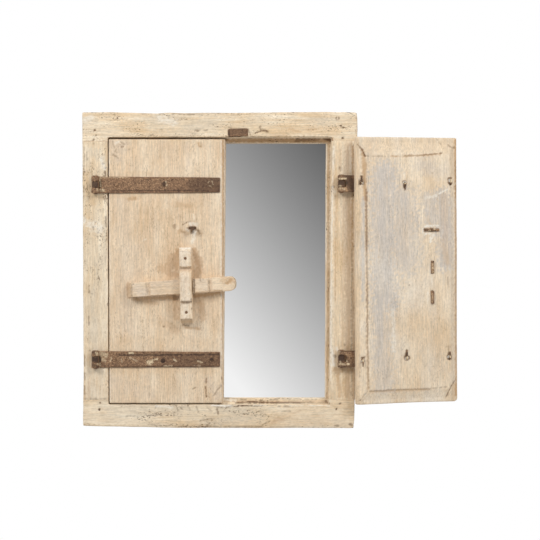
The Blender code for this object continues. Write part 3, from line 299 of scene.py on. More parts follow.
# Lumps of noise: the size along and across the grain in metres, and the share
WEAR_LUMPS = ((0.030, 0.012, 0.012), 1.0), ((0.008, 0.005, 0.005), 0.5)
SWELL_LUMPS = ((0.070, 0.016, 0.016), 0.6), ((0.022, 0.005, 0.005), 0.4)
EDGE_LUMPS = (((0.004, 0.004, 0.004), 0.9),)
# From the least to the most worn lumps, and from faces turned away to faces seen at rest
WEAR_SPAN = -0.45, 0.55
FACING_SPAN = 0.3, 0.7
# The soft edge of a mark as a share of its radius, and the least in pixels
SOFT_EDGE, CRISP_EDGE, LEAST_EDGE = 1.1, 0.45, 0.9


def placed(name, data):
    """A new object in the scene."""
    made = bpy.data.objects.new(name, data)
    bpy.context.scene.collection.objects.link(made)
    return made


def table_of(collection, field, width, kind=np.float64):
    values = np.empty(len(collection) * width, dtype=kind)
    collection.foreach_get(field, values)
    return values.reshape(-1, width)


def shaped(mesh, points):
    """The mesh's normals, once its vertices stand at the points."""
    mesh.vertices.foreach_set("co", points.ravel())
    mesh.update()
    return table_of(mesh.vertices, "normal", 3)


def eased(points, edges, rounds):
    """The points drawn towards their neighbours' middle that many times."""
    count = len(points)
    degree = np.bincount(edges.ravel(), minlength=count)[:, None]
    ends = np.concatenate([edges[:, 0], edges[:, 1]])
    others = np.concatenate([edges[:, 1], edges[:, 0]])
    for _ in range(rounds):
        total = np.stack(
            [np.bincount(ends, weights=points[others, k], minlength=count) for k in range(3)], axis=1
        )
        points = (points + total / degree) / 2
    return points


def lumpy(points, lumps, seed):
    """Soft noise for each point, added up from lumps of several sizes."""
    total = np.zeros(len(points))
    for number, (size, share) in enumerate(lumps):
        scaled = points / np.array(size) + (seed + number) * SEED_STEP
        total += share * np.array([noise.noise(Vector(p)) for p in scaled])
    return total


def step_up(low, high, values):
    share = np.clip((values - low) / (high - low), 0.0, 1.0)
    return share * share * (3 - 2 * share)


def grain_frame(run):
    """Axes along and across the grain, for grain that runs along a direction."""
    along = Vector(run).normalized()
    across = along.cross(Vector((0, 1, 0))).normalized()
    return np.array([along, across, along.cross(across)])


def finely_meshed(node, cell):
    """A copy of a node's solid in even cells of one size."""
    soup = bmesh.new()
    soup.from_mesh(frame["nodes"][node].data)
    bmesh.ops.remove_doubles(soup, verts=soup.verts, dist=1e-6)
    mesh = bpy.data.meshes.new(node)
    soup.to_mesh(mesh)
    soup.free()
    rough = placed(node, mesh)
    cells = rough.modifiers.new("cells", "REMESH")
    cells.mode = "VOXEL"
    cells.voxel_size = cell
    done = bpy.data.meshes.new_from_object(rough.evaluated_get(bpy.context.evaluated_depsgraph_get()))
    bpy.data.objects.remove(rough, do_unlink=True)
    bpy.data.meshes.remove(mesh)
    return done


# The stiles stand between these heights
JOINT_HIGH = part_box("top_rail")[0][Z]
JOINT_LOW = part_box("bottom_rail")[1][Z]
JOINT_REACH = 0.005
SHOULDER_RUN = 0.0025


def beside_joints(points):
    """True where a rail and a stile meet."""
    heights = np.minimum(np.abs(points[:, Z] - JOINT_HIGH), np.abs(points[:, Z] - JOINT_LOW))
    near = np.zeros(len(points), dtype=bool)
    for stile in ("left_stile", "right_stile"):
        low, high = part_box(stile)
        near |= (points[:, X] > low[X] - JOINT_REACH) & (points[:, X] < high[X] + JOINT_REACH)
    return near & (heights < JOINT_REACH)


def tight_shoulders(points):
    """The stiles' ends run on a little into the rails, so that their joints show as hairlines."""
    heights = points[:, Z]
    start, full = JOINT_REACH * 2, JOINT_REACH / 2
    up = step_up(JOINT_HIGH - start, JOINT_HIGH - full, heights)
    down = step_up(-JOINT_LOW - start, -JOINT_LOW - full, -heights)
    points[:, Z] = heights + SHOULDER_RUN * (up - down)
    return points


# A side of a worn piece bows in and out by a few pixels at most: (place along it, shift outwards) in
# pixels. The shift fades away over the reach, in metres
PROFILE_REACH, LEAF_FOOT_REACH = 0.012, 0.030
HEAD_PROFILE = ((85, 0.8), (112, 1.0), (130, 0.4), (157, -0.5), (170, 0.4), (184, -0.2), (202, 0.2))
HEAD_PROFILE += ((230, 0.0), (283, 0.8), (301, 0.9), (328, 1.1), (337, 0.7), (346, 0.9), (355, 0.5))
FOOT_PROFILE = ((85, -2.2), (103, -1.6), (121, -1.4), (148, -1.0), (166, -0.4), (193, -0.2), (350, -0.1))
LEFT_PROFILE = ((118, 0.7), (166, 0.5), (226, 0.4), (286, 0.1), (370, -0.1), (418, 0.6))
RIGHT_HEAD_PROFILE = ((114, 0.3), (123, 1.0), (131, 1.0))
RIGHT_FOOT_PROFILE = ((406, 1.1), (420, 0.9), (425, 0.4))
RIGHT_PROFILE = ((205, 0.0), (240, 0.6), (330, 1.3), (366, 1.4), (376, 2.5), (404, 2.5))
LEAF_SIDE_PROFILE = ((142, 0.45), (240, 0.4), (290, 0.1), (400, 0.0))
LEAF_HEAD_PROFILE = ((362, 0.0), (400, 0.1), (452, 0.1))
LEAF_FOOT_PROFILE = ((362, -0.3), (380, -0.5), (404, -0.9), (430, -0.9), (453, -0.7))


def profiled(axis, outwards, profile, reach=PROFILE_REACH):
    """A reshaping of the side that faces outwards (-1 or 1) along an axis."""
    places, shifts = zip(*profile)

    def reshape(points):
        along = pixels(points)[1 if axis == X else 0]
        side = (points[:, axis] * outwards).max() * outwards
        near = 1 - step_up(0, reach, np.abs(points[:, axis] - side))
        points[:, axis] += np.interp(along, places, shifts) * PIXEL * near * outwards
        return points

    return reshape


# The open leaf's lower free corner is knocked round: its centre and radius in pixels
KNOCKED_CENTRE = 454.5, 398.2
KNOCKED_RADIUS = 2.6


def knocked_corner(points):
    across, down = pixels(points)
    aside, below = across - KNOCKED_CENTRE[0], down - KNOCKED_CENTRE[1]
    away = np.maximum(np.hypot(aside, below), 1e-6)
    over = np.where((aside > 0) & (below > 0), np.maximum(away - KNOCKED_RADIUS, 0), 0)
    points[:, X] -= over * aside / away * PIXEL
    points[:, Z] += over * below / away * PIXEL
    return points


def worn(node, look, cell, run, seed, rounds, wear, relief, marks, reshaped=(), limit=1.0):
    """A worn piece in place of a node.

    Its arrises are eased away by up to the given number of rounds, by the wear shares (least, most)
    and nowhere by more than the limit in metres. Its faces rise and fall by relief, and its marks are
    painted and dented in.
    """
    mesh = finely_meshed(node, cell)
    points = table_of(mesh.vertices, "co", 3)
    edges = table_of(mesh.edges, "vertices", 2, np.int64)
    grain = points @ grain_frame(run).T

    # Wear takes the arrises off, here more and there less, and leaves inner corners and joints sharp
    share = wear[0] + (wear[1] - wear[0]) * step_up(*WEAR_SPAN, lumpy(grain, WEAR_LUMPS, seed))
    outwards = table_of(mesh.vertices, "normal", 3)
    drawn = eased(points, edges, rounds) - points
    drawn *= np.minimum(1.0, limit / np.maximum(np.linalg.norm(drawn, axis=1), 1e-9))[:, None]
    share = np.where((drawn * outwards).sum(axis=1) > 0, 0.0, share)
    share = np.where(beside_joints(points), 0.0, share)
    points = points + drawn * share[:, None]
    for reshape in reshaped:
        points = reshape(points)

    # Planing, checks and knocks raise and sink the faces
    normals = shaped(mesh, points)
    rise = relief * lumpy(grain, SWELL_LUMPS, seed + 2)

    # Marks in the faces that look at the camera at rest
    across, down = pixels(points)
    facing = step_up(*FACING_SPAN, -normals[:, Y])
    jitter = lumpy(points, EDGE_LUMPS, seed + 4)
    layers = {kind: np.zeros(len(points)) for kind in MARK_KINDS}
    for kind, x0, y0, x1, y1, radius, amount, *dent in marks:
        span = np.array([x1 - x0, y1 - y0])
        length = max(float(span @ span), 1e-9)
        where = np.clip(((across - x0) * span[0] + (down - y0) * span[1]) / length, 0, 1)
        gap = np.hypot(across - x0 - where * span[0], down - y0 - where * span[1])
        edge = max(LEAST_EDGE, radius * (CRISP_EDGE if kind == DARK else SOFT_EDGE))
        cover = 1 - step_up(radius - edge / 2, radius + edge / 2, gap + jitter * edge)
        layers[kind] = np.maximum(layers[kind], cover * facing * amount)
        if dent:
            rise = rise - cover * facing * dent[0] / 1000
    shaped(mesh, points + normals * rise[:, None])

    place = mesh.attributes.new("grain", "FLOAT_VECTOR", "POINT")
    place.data.foreach_set("vector", (grain + seed * GRAIN_STEP).ravel())
    for kind, values in layers.items():
        layer = mesh.attributes.new(kind, "FLOAT", "POINT")
        layer.data.foreach_set("value", values)
    mesh.shade_smooth()
    mesh.materials.append(look)
    made = placed(f"worn_{node}", mesh)
    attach(made, BODY_OF[node])
    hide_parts(node)


# Marks: kind, from (x, y) to (x, y) in pixels, radius in pixels, amount, and the dent in millimetres
# of those that have one
def spots(kind, *rows):
    """Marks that begin and end at one (x, y)."""
    return [(kind, x, y, x, y, *rest) for x, y, *rest in rows]


TOP_RAIL_MARKS = [
    # Nail holes and their rust
    *spots(
        DARK, (95, 130.6, 1, 0.95, 1.2), (95.9, 135.7, 0.9, 0.7, 1), (93.9, 139.8, 0.9, 0.8, 1.2),
        (341, 126, 0.9, 0.95, 1), (343.2, 127.8, 0.7, 0.8, 0.8), (342.8, 138, 1, 0.95, 1.2),
    ),
    (DARK, 336, 117.6, 337, 116.9, 0.6, 0.7, 0.4), (DARK, 338.4, 117.2, 339, 118.6, 0.6, 0.7, 0.4),
    (DARK, 336, 119.4, 338.2, 120.2, 0.5, 0.55, 0.3),
    # Checks, chips and worm
    (DARK, 256, 132.4, 258.6, 131.9, 0.6, 0.8, 0.6), (DARK, 260.4, 131.4, 264, 130.2, 0.7, 0.85, 0.8),
    (DARK, 264, 130.2, 267.4, 131, 0.6, 0.8, 0.6), (DARK, 260.6, 126.2, 262.4, 127.6, 0.6, 0.6, 0.4),
    (DARK, 248.4, 130, 250, 134.6, 0.8, 0.45, 0.4), (DARK, 195, 130.6, 199, 131, 0.7, 0.6, 0.6),
    (DARK, 204, 130.4, 207, 130.4, 0.6, 0.5, 0.5), (DARK, 160, 129.4, 162, 130.2, 0.7, 0.45, 0.4),
    (DARK, 150, 135, 151.6, 135.4, 0.7, 0.5, 0.4), (DARK, 228.6, 127.6, 232, 128.2, 0.5, 0.45, 0.2),
    (DARK, 173, 113.6, 194, 114.4, 0.7, 0.5, 0.7), (DARK, 142, 113.2, 146, 113.6, 0.6, 0.5, 0.6),
    (DARK, 196, 113.6, 228, 113.2, 0.6, 0.3, 0.4),
    # Hairlines of the joints
    (SHADE, 84, 141.3, 107, 141.1, 0.5, 0.8), (DARK, 333, 141.6, 352, 141.7, 0.4, 0.25),
    # Weathered, limed and sanded areas
    (GREY, 150, 124, 215, 126, 8, 0.5, 0.2), (GREY, 85, 121, 94, 119, 4, 0.3, 0.1),
    (LIME_AND_HIGHLIGHT, 160, 119, 174, 122, 3.4, 0.55), (LIME_AND_HIGHLIGHT, 85, 120, 92, 117.5, 2.4, 0.5),
    (TAN, 84, 114, 150, 115, 2.2, 0.5), (TAN, 125, 125, 142, 127, 5, 0.7),
    (TAN, 285, 130, 335, 131, 4.6, 0.65), (SHADE, 290, 128.6, 300, 132, 1.2, 0.4, 0.2),
    (SHADE, 306, 130, 316, 129, 1, 0.35, 0.2),
    # Painted shade under the rebate's face and down its lip, with dark chips in the lip
    (DARK, 228, 136.7, 328, 136.7, 0.5, 0.4), (DARK, 110, 137.6, 222, 137.8, 0.6, 0.6),
    (DARK, 224, 137.8, 300, 137.8, 0.5, 0.6), (DARK, 296, 137.8, 331, 137.8, 0.8, 0.75),
    (SHADE, 226, 140.4, 331, 140.6, 2.6, 0.8), (TAN, 230, 142, 326, 142, 0.7, 0.9),
    (DARK, 296, 140.8, 306, 139.8, 1.2, 0.5, 0.4), (DARK, 303, 139.8, 318, 139.2, 1.6, 0.45, 0.4),
    (DARK, 325, 138.6, 331, 139.6, 1.8, 0.85), (DARK, 222, 140.6, 226, 139, 1.4, 0.6),
    # The crack beside the iron plate
    (DARK, 259.6, 127.2, 261.4, 130.4, 0.6, 0.6, 0.5), (DARK, 261.2, 131.2, 268, 131.8, 0.7, 0.6, 0.5),
]
BOTTOM_RAIL_MARKS = [
    # Nail holes
    *spots(
        DARK, (100.1, 403.2, 0.9, 0.95, 1), (99.5, 409.7, 0.9, 0.95, 1),
        (340.1, 403.5, 0.8, 0.9, 1), (336.6, 409.1, 0.8, 0.9, 1),
    ),
    # Split along the rebate, dented in, with painted shade along it and over the lip, and its chipped arris
    (DARK, 236, 403, 250, 402.2, 0.8, 0.75, 0.7), (DARK, 250, 402.2, 276, 402.8, 0.9, 0.85, 0.8),
    (DARK, 276, 402.6, 300, 402.9, 0.8, 0.8, 0.8), (DARK, 300, 402.9, 313, 402.6, 0.8, 0.55, 0.4),
    (DARK, 313, 403.4, 328, 403.8, 0.8, 0.5), (DARK, 326, 401.5, 329, 403.5, 1.2, 0.65),
    (DARK, 270, 399.4, 278, 399.6, 0.5, 0.5, 0.3), (DARK, 300, 399.4, 317, 399.2, 0.4, 0.35, 0.2),
    (DARK, 225, 398.6, 229, 398.8, 0.6, 0.6, 0.2), (DARK, 237, 399.4, 246, 399.6, 0.5, 0.5, 0.2),
    (SHADE, 228, 401.2, 325, 401.2, 1.2, 0.2), (DARK, 232, 398.9, 246, 398.9, 0.5, 0.5),
    (DARK, 276, 398.7, 312, 398.8, 0.5, 0.4), (DARK, 226, 407.8, 232, 406.2, 0.7, 0.7, 0.8),
    (DARK, 232, 406.4, 238, 406.8, 0.6, 0.6, 0.6), (DARK, 238, 405.8, 252, 405.6, 0.7, 0.8, 0.8),
    (DARK, 254, 406, 262, 406.2, 0.6, 0.7, 0.6), (DARK, 262, 405.6, 276, 405, 0.5, 0.5, 0.4),
    (DARK, 278, 406.4, 290, 406.6, 0.5, 0.5, 0.4), (DARK, 214, 406.2, 222, 407.6, 0.6, 0.5, 0.6),
    (LIME_AND_HIGHLIGHT, 212, 405.4, 232, 405.8, 1, 0.95), (LIME_AND_HIGHLIGHT, 222, 399.6, 236, 400.8, 1.3, 0.8),
    (LIME_AND_HIGHLIGHT, 254, 404.6, 266, 405, 0.9, 0.75), (LIME_AND_HIGHLIGHT, 290, 405.6, 329, 405.5, 0.7, 0.6),
    (LIME_AND_HIGHLIGHT, 156, 406, 172, 407.4, 1.2, 0.6, 0.2),
    # Checks and knocks below the left leaf
    (DARK, 155, 408.6, 157, 405.4, 0.6, 0.5, 0.5), (DARK, 176.6, 405.6, 177.6, 411, 0.5, 0.5, 0.5),
    (DARK, 180.4, 407.8, 182.4, 409.4, 0.6, 0.6, 0.5), (DARK, 188, 405.6, 190, 410, 0.5, 0.45, 0.5),
    (DARK, 196, 406, 198, 411.4, 0.6, 0.45, 0.5), (DARK, 217, 409, 218.4, 414, 0.8, 0.6, 0.7),
    (DARK, 207, 408, 212, 411, 0.6, 0.4, 0.4), (DARK, 126, 416.6, 150, 415.2, 0.5, 0.4, 0.3),
    (DARK, 150, 415.2, 172, 415.2, 0.5, 0.5, 0.4), (DARK, 200, 421, 215, 418, 0.8, 0.35, 0.4),
    (DARK, 148, 424.6, 172, 426.4, 0.6, 0.45, 0.5), (DARK, 172, 426.6, 230, 426.8, 0.6, 0.35, 0.4),
    (DARK, 243, 413.8, 244.4, 414.4, 0.7, 0.6, 0.4), (DARK, 282, 411.6, 290, 411.2, 0.5, 0.5, 0.4),
    (DARK, 262, 425, 270, 421.4, 0.5, 0.5, 0.4), (DARK, 225, 427, 262, 427, 0.7, 0.45, 0.4),
    (DARK, 270, 427, 300, 427, 0.5, 0.3, 0.3), (SHADE, 292, 414, 300, 411, 0.8, 0.4, 0.3),
    (SHADE, 274, 421.4, 282, 419, 2.2, 0.45, 0.4), (DARK, 335, 425.6, 338, 426, 1, 0.6, 0.6),
    (DARK, 350, 424.4, 352, 425.4, 1.2, 0.7, 0.8),
    # Hairlines of the joints
    (DARK, 85, 399.4, 107, 399.4, 0.5, 0.55, 0.3), (SHADE, 330, 399.6, 352, 399.6, 0.5, 0.4),
    # Weathered areas
    (GREY, 112, 408, 225, 409, 6, 0.4, 0.2), (GREY, 205, 419, 262, 418, 5, 0.4, 0.1),
    (GREY, 100, 404, 106, 404, 3, 0.5), (TAN, 84, 402, 96, 402, 3, 0.35), (TAN, 270, 424, 350, 420, 5, 0.4),
    (TAN, 225, 424, 262, 424, 3, 0.4), (TAN, 290, 408, 330, 409, 3, 0.3), (TAN, 334, 402, 352, 402, 3, 0.4),
    # Sound timber, with a film of lime
    (SOUND, 286, 415, 352, 415, 13, 1), (SOUND, 84, 413, 122, 414, 13, 0.9),
    (LIME_AND_HIGHLIGHT, 284, 416, 340, 416, 11, 0.16), (LIME_AND_HIGHLIGHT, 90, 416, 150, 418, 10, 0.1),
]
LEFT_STILE_MARKS = [
    # Worm, knots and checks
    (LIME_AND_HIGHLIGHT, 102.6, 158, 103.4, 168, 2.2, 0.75, 0.1), (DARK, 102.9, 163.8, 103.4, 163.9, 1.1, 0.85, 0.7),
    (DARK, 104.6, 167.6, 105.6, 168, 0.8, 0.85, 0.6), (DARK, 104.8, 171.4, 105.4, 174.4, 0.7, 0.85, 0.6),
    (DARK, 103.6, 176, 105.6, 176, 0.5, 0.6, 0.4), (DARK, 104.6, 196.6, 105.2, 198.6, 0.7, 0.6, 0.5),
    (DARK, 104.4, 199.8, 105.6, 201.6, 0.6, 0.5, 0.5), (DARK, 105.4, 217, 105.8, 219.6, 0.9, 0.55, 0.7),
    (DARK, 105.6, 221.4, 106.2, 226, 0.9, 0.5, 0.7), (DARK, 106.6, 232, 107, 241, 0.6, 0.5, 0.5),
    (DARK, 93, 142, 93.6, 144, 0.6, 0.45, 0.3), (DARK, 91, 163, 91.6, 172, 0.5, 0.4, 0.2),
    (DARK, 86.6, 152, 87, 162, 0.5, 0.35, 0.2), (DARK, 84, 148, 84, 175, 0.6, 0.4, 0.5),
    (DARK, 83.8, 186, 84, 200, 0.6, 0.3, 0.3), (DARK, 84, 216, 84.2, 222, 0.6, 0.5, 0.5),
    (DARK, 88.6, 316, 88.8, 325, 0.6, 0.6, 0.6), (DARK, 89, 286, 89, 293, 0.6, 0.55, 0.6),
    (DARK, 84.4, 355, 84.4, 366, 0.7, 0.6, 0.7), (DARK, 84.6, 373, 84.6, 380, 0.7, 0.55, 0.7),
    (DARK, 84.4, 386, 84.4, 394, 0.7, 0.5, 0.5), (DARK, 89.6, 350.6, 90.4, 350.8, 0.6, 0.6, 0.5),
    # Weathered and tan areas
    (LIME_AND_HIGHLIGHT, 84, 221, 99, 229, 4, 0.6), (GREY, 86, 150, 101, 158, 5, 0.35, 0.1),
    (GREY, 86, 196, 98, 218, 7, 0.35, 0.1), (GREY, 88, 235, 96, 262, 7, 0.5, 0.1),
    (GREY, 90, 262, 100, 345, 8, 0.3, 0.1), (GREY, 86, 300, 92, 340, 4, 0.3, 0.1),
    (TAN, 84, 176, 92, 200, 5, 0.75), (TAN, 90, 197, 102, 197, 3, 0.5),
    (TAN, 105, 144, 105.4, 160, 1.6, 0.6), (TAN, 86, 372, 104, 386, 9, 0.15),
    (SHADE, 88.6, 382, 89.2, 398, 1.2, 0.4),
    # Hairline of the joint, and the foot
    (DARK, 85, 398.9, 107, 398.9, 0.5, 0.5, 0.2), (SHADE, 84, 386, 85, 398, 1.4, 0.35),
    (TAN, 84, 142, 100, 146, 3, 0.45),
    # Sound timber, with a film of lime
    (SOUND, 95, 305, 95, 400, 14, 0.8), (LIME_AND_HIGHLIGHT, 98, 330, 98, 345, 10, 0.15),
    (LIME_AND_HIGHLIGHT, 94, 374, 96, 394, 11, 0.2),
]
RIGHT_STILE_MARKS = [
    # The lip: a painted highlight along the arris beside the glass, and painted shade in the hollow beside
    # the face
    (LIME_AND_HIGHLIGHT, 326.2, 144, 325.2, 398, 0.6, 0.7), (SHADE, 328.8, 143, 327.4, 398, 1.6, 0.42),
    (DARK, 329.6, 143, 328.2, 398, 0.5, 0.35),
    # The face: pale beside the rebate, tan and darker towards the leaf, with painted shade at its edge
    # beside the leaf
    (LIME_AND_HIGHLIGHT, 333.6, 146, 331.4, 240, 1, 0.55), (LIME_AND_HIGHLIGHT, 331.4, 240, 330.6, 380, 1, 0.6),
    (TAN, 339, 145, 337, 396, 2.6, 0.5), (SHADE, 344, 196, 342, 345, 1.6, 0.3),
    (SHADE, 348.6, 145, 347.2, 396, 3.4, 0.42), (SHADE, 340.4, 150, 340, 170, 0.9, 0.4),
    (SHADE, 336, 196, 335, 300, 0.8, 0.4), (SHADE, 338, 370, 340, 396, 1.8, 0.5),
    (SHADE, 352.8, 146, 352.2, 250, 0.8, 0.8), (DARK, 352, 250, 351.6, 396, 0.6, 0.4),
    (LIME_AND_HIGHLIGHT, 349.8, 146, 350.6, 172, 0.6, 0.5),
    # Torn wood at the hinges, and checks
    (DARK, 332, 187.2, 334, 186.8, 1.2, 0.65, 0.6), (DARK, 332.6, 189, 333.4, 190, 0.7, 0.6, 0.5),
    (DARK, 338.4, 185.6, 339.4, 186, 0.7, 0.5, 0.5), (LIME_AND_HIGHLIGHT, 332, 191.4, 335, 191.6, 1.2, 0.6),
    (DARK, 339.6, 166.4, 340.4, 171.6, 0.6, 0.6, 0.3), (DARK, 341.6, 168, 342.4, 171, 0.5, 0.4, 0.3),
    (DARK, 334.2, 155, 334.6, 164, 0.5, 0.3, 0.2), (LIME_AND_HIGHLIGHT, 331, 348, 333.4, 365, 1.8, 0.7),
    (LIME_AND_HIGHLIGHT, 336, 347.6, 338, 351, 1.2, 0.5), (DARK, 333.4, 355, 335.4, 356.6, 0.8, 0.5, 0.4),
    (DARK, 344.6, 344.6, 344.8, 345, 0.7, 0.6, 0.5), (SHADE, 334, 369, 352, 370.4, 2, 0.5),
    # Sound timber with a film of lime, warm tan, and painted shade down its side beside the leaf
    (SOUND, 340, 372, 340, 400, 12, 0.8), (SHADE, 352.4, 230, 353.4, 402, 0.9, 0.5),
    (LIME_AND_HIGHLIGHT, 343, 150, 347, 340, 4, 0.12), (SOUND, 340, 146, 340, 372, 12, 0.5),
    (TAN, 349.4, 200, 350.4, 400, 2.6, 0.45), (TAN, 341, 200, 342, 340, 5, 0.3),
]
LEFT_BOARD_MARKS = [
    # Splits, knots and knocks
    (DARK, 206.4, 378, 206, 384, 0.6, 0.8, 0.7), (DARK, 205.6, 386, 206.4, 397, 0.6, 0.85, 0.7),
    (DARK, 214, 395.4, 216.4, 391.4, 0.6, 0.45, 0.4), (DARK, 216.8, 390.4, 219.6, 387.4, 0.5, 0.45, 0.4),
    (DARK, 192.4, 389, 196, 387.4, 0.5, 0.6, 0.4), (DARK, 221.9, 377, 222.1, 379, 0.9, 0.9, 0.8),
    (DARK, 221.7, 386, 221.7, 386, 0.9, 0.85, 0.8), (DARK, 163.3, 326.8, 163.3, 326.8, 0.9, 0.7, 0.8),
    (DARK, 174.5, 225.4, 174.5, 227.6, 1.4, 0.45, 0.8), (DARK, 110.6, 211.3, 110.6, 211.3, 0.7, 0.75, 0.6),
    (DARK, 199.4, 146.6, 201, 146.2, 0.5, 0.45), (TAN, 198.6, 143.4, 200.6, 145.6, 2, 0.9),
    (SHADE, 198.4, 143.6, 198.8, 145.6, 0.7, 0.6, 0.2), (SHADE, 129, 198.8, 135, 198.6, 1.8, 0.6),
    (TAN, 175, 204, 192, 207, 5, 0.6), (SHADE, 178, 205, 190, 206, 2.4, 0.3),
    # The chain staple's torn wood, and the hole under the staple, dented in and painted dark for its shade
    (DARK, 192, 230.6, 192, 232.2, 1.7, 0.9, 0.8), (DARK, 187.4, 228, 188, 228.6, 0.8, 0.6, 0.3),
    (SHADE, 179.6, 231.6, 187, 232.4, 2.4, 0.4, 0.4), (SHADE, 196.6, 230.4, 200.4, 233.6, 2.2, 0.4, 0.4),
    (DARK, 181, 231.6, 184, 232.6, 0.7, 0.4, 0.3), (DARK, 198, 231, 200, 233.6, 0.7, 0.4, 0.3),
    (DARK, 182.6, 224.6, 187, 222.4, 0.45, 0.7, 0.4), (DARK, 187, 222.4, 190.8, 221.6, 0.45, 0.5, 0.4),
    (LIME_AND_HIGHLIGHT, 190, 223.8, 196.8, 224.6, 1.8, 0.55, 0.2), (LIME_AND_HIGHLIGHT, 186.2, 229.6, 188.4, 230.6, 0.8, 0.7),
    (LIME_AND_HIGHLIGHT, 194.6, 231.6, 192.4, 242, 1.8, 0.6), (LIME_AND_HIGHLIGHT, 193.4, 215, 194.2, 220, 0.9, 0.4),
    # Painted shadows cast by the keeper on both sides and below it, a little dented in places, and painted
    # shade under and beside the bolt, where it keeps the light off
    (SHADE, 177.4, 250, 176.4, 268, 2.6, 0.45, 0.2), (SHADE, 173, 258, 169, 270, 5, 0.4, 0.2),
    (SHADE, 194.6, 250, 198.6, 266, 2.4, 0.55, 0.2), (SHADE, 200, 260, 200.4, 272, 2.8, 0.45, 0.2),
    (SHADE, 196.6, 270, 197, 275, 2.4, 0.4), (SHADE, 160, 268, 176, 275, 3.4, 0.4),
    (SHADE, 134, 298.6, 176, 297.6, 1.8, 0.55, 0.1), (DARK, 136, 299, 141, 300.6, 1.4, 0.2),
    (SHADE, 145, 301.6, 157, 303.4, 2.4, 0.35), (DARK, 173.6, 296.4, 177.4, 297.6, 2, 0.5, 0.2),
    (DARK, 174, 299, 177.4, 298.6, 1.4, 0.5, 0.2), (SHADE, 195, 296.4, 220, 292.6, 1.6, 0.65),
    (SHADE, 175.4, 302, 176, 318, 2.4, 0.35, 0.2), (SHADE, 201, 303, 203, 318, 3.4, 0.4, 0.1),
    (DARK, 183, 325.2, 188, 325.4, 0.8, 0.5), (SHADE, 186, 327.6, 199, 328.6, 1.2, 0.55),
    (SHADE, 128, 284, 129, 298, 1.6, 0.5), (SHADE, 163, 321, 176, 330, 4, 0.25),
    # Weathered and tan areas, and knocks
    (TAN, 165, 217, 176, 246, 7, 0.75), (TAN, 183, 240, 178, 268, 5, 0.25),
    (TAN, 166, 329, 184, 338, 7, 0.4), (TAN, 120, 340, 215, 344, 5, 0.3),
    (TAN, 112, 370, 216, 371, 3.4, 0.45), (TAN, 112, 195, 140, 196, 3, 0.5),
    (TAN, 126, 173.6, 150, 173.8, 2.6, 0.55), (LIME_AND_HIGHLIGHT, 108.9, 150, 109.4, 400, 0.7, 0.5),
    (LIME_AND_HIGHLIGHT, 142, 241, 146, 239.4, 0.7, 0.5), (GREY, 111, 143, 118, 160, 3.4, 0.5, 0.1),
    (GREY, 119, 147, 129, 143, 2.4, 0.5, 0.2), (DARK, 121.4, 147, 123.4, 146.6, 0.9, 0.5, 0.5),
    (DARK, 127, 143, 127.6, 144.4, 0.6, 0.5, 0.3), (DARK, 113.4, 155, 115.4, 156, 0.9, 0.5, 0.4),
    (DARK, 115, 151.4, 117, 152.6, 0.7, 0.4, 0.3), (DARK, 117.6, 157.6, 118.4, 158.6, 0.7, 0.4, 0.3),
    (DARK, 128.6, 149, 129, 149.4, 0.5, 0.5, 0.3), (GREY, 187, 143, 188, 168, 1.4, 0.6),
    (GREY, 122, 200, 128, 330, 7, 0.35), (GREY, 134, 250, 136, 282, 6, 0.4),
    (GREY, 113, 380, 150, 396, 6, 0.35), (GREY, 208, 380, 218, 396, 4, 0.6),
    # The planed arris of the free side: painted shade down its chamfer, and painted highlights along its
    # two arrises
    (SHADE, 222.9, 138, 222.4, 300, 1.3, 0.6), (DARK, 224.1, 139, 223.6, 300, 0.4, 0.35),
    (SHADE, 222.4, 300, 222, 404, 1.1, 0.6), (DARK, 223.4, 300, 222.8, 404, 0.4, 0.35),
    (LIME_AND_HIGHLIGHT, 221.2, 141, 221.4, 402, 0.5, 0.6), (LIME_AND_HIGHLIGHT, 225, 141, 224.4, 260, 0.5, 0.6),
    # Scuffs in the upper left corner
    (GREY, 112, 142, 122, 149, 6, 0.5), (DARK, 112.6, 141.6, 114.4, 148, 0.6, 0.35),
    (DARK, 121, 142.4, 124.2, 144.6, 0.7, 0.4), (DARK, 118.4, 146.6, 115, 151, 0.6, 0.3),
    (LIME_AND_HIGHLIGHT, 115.6, 143.4, 119.4, 141.6, 1, 0.5),
]
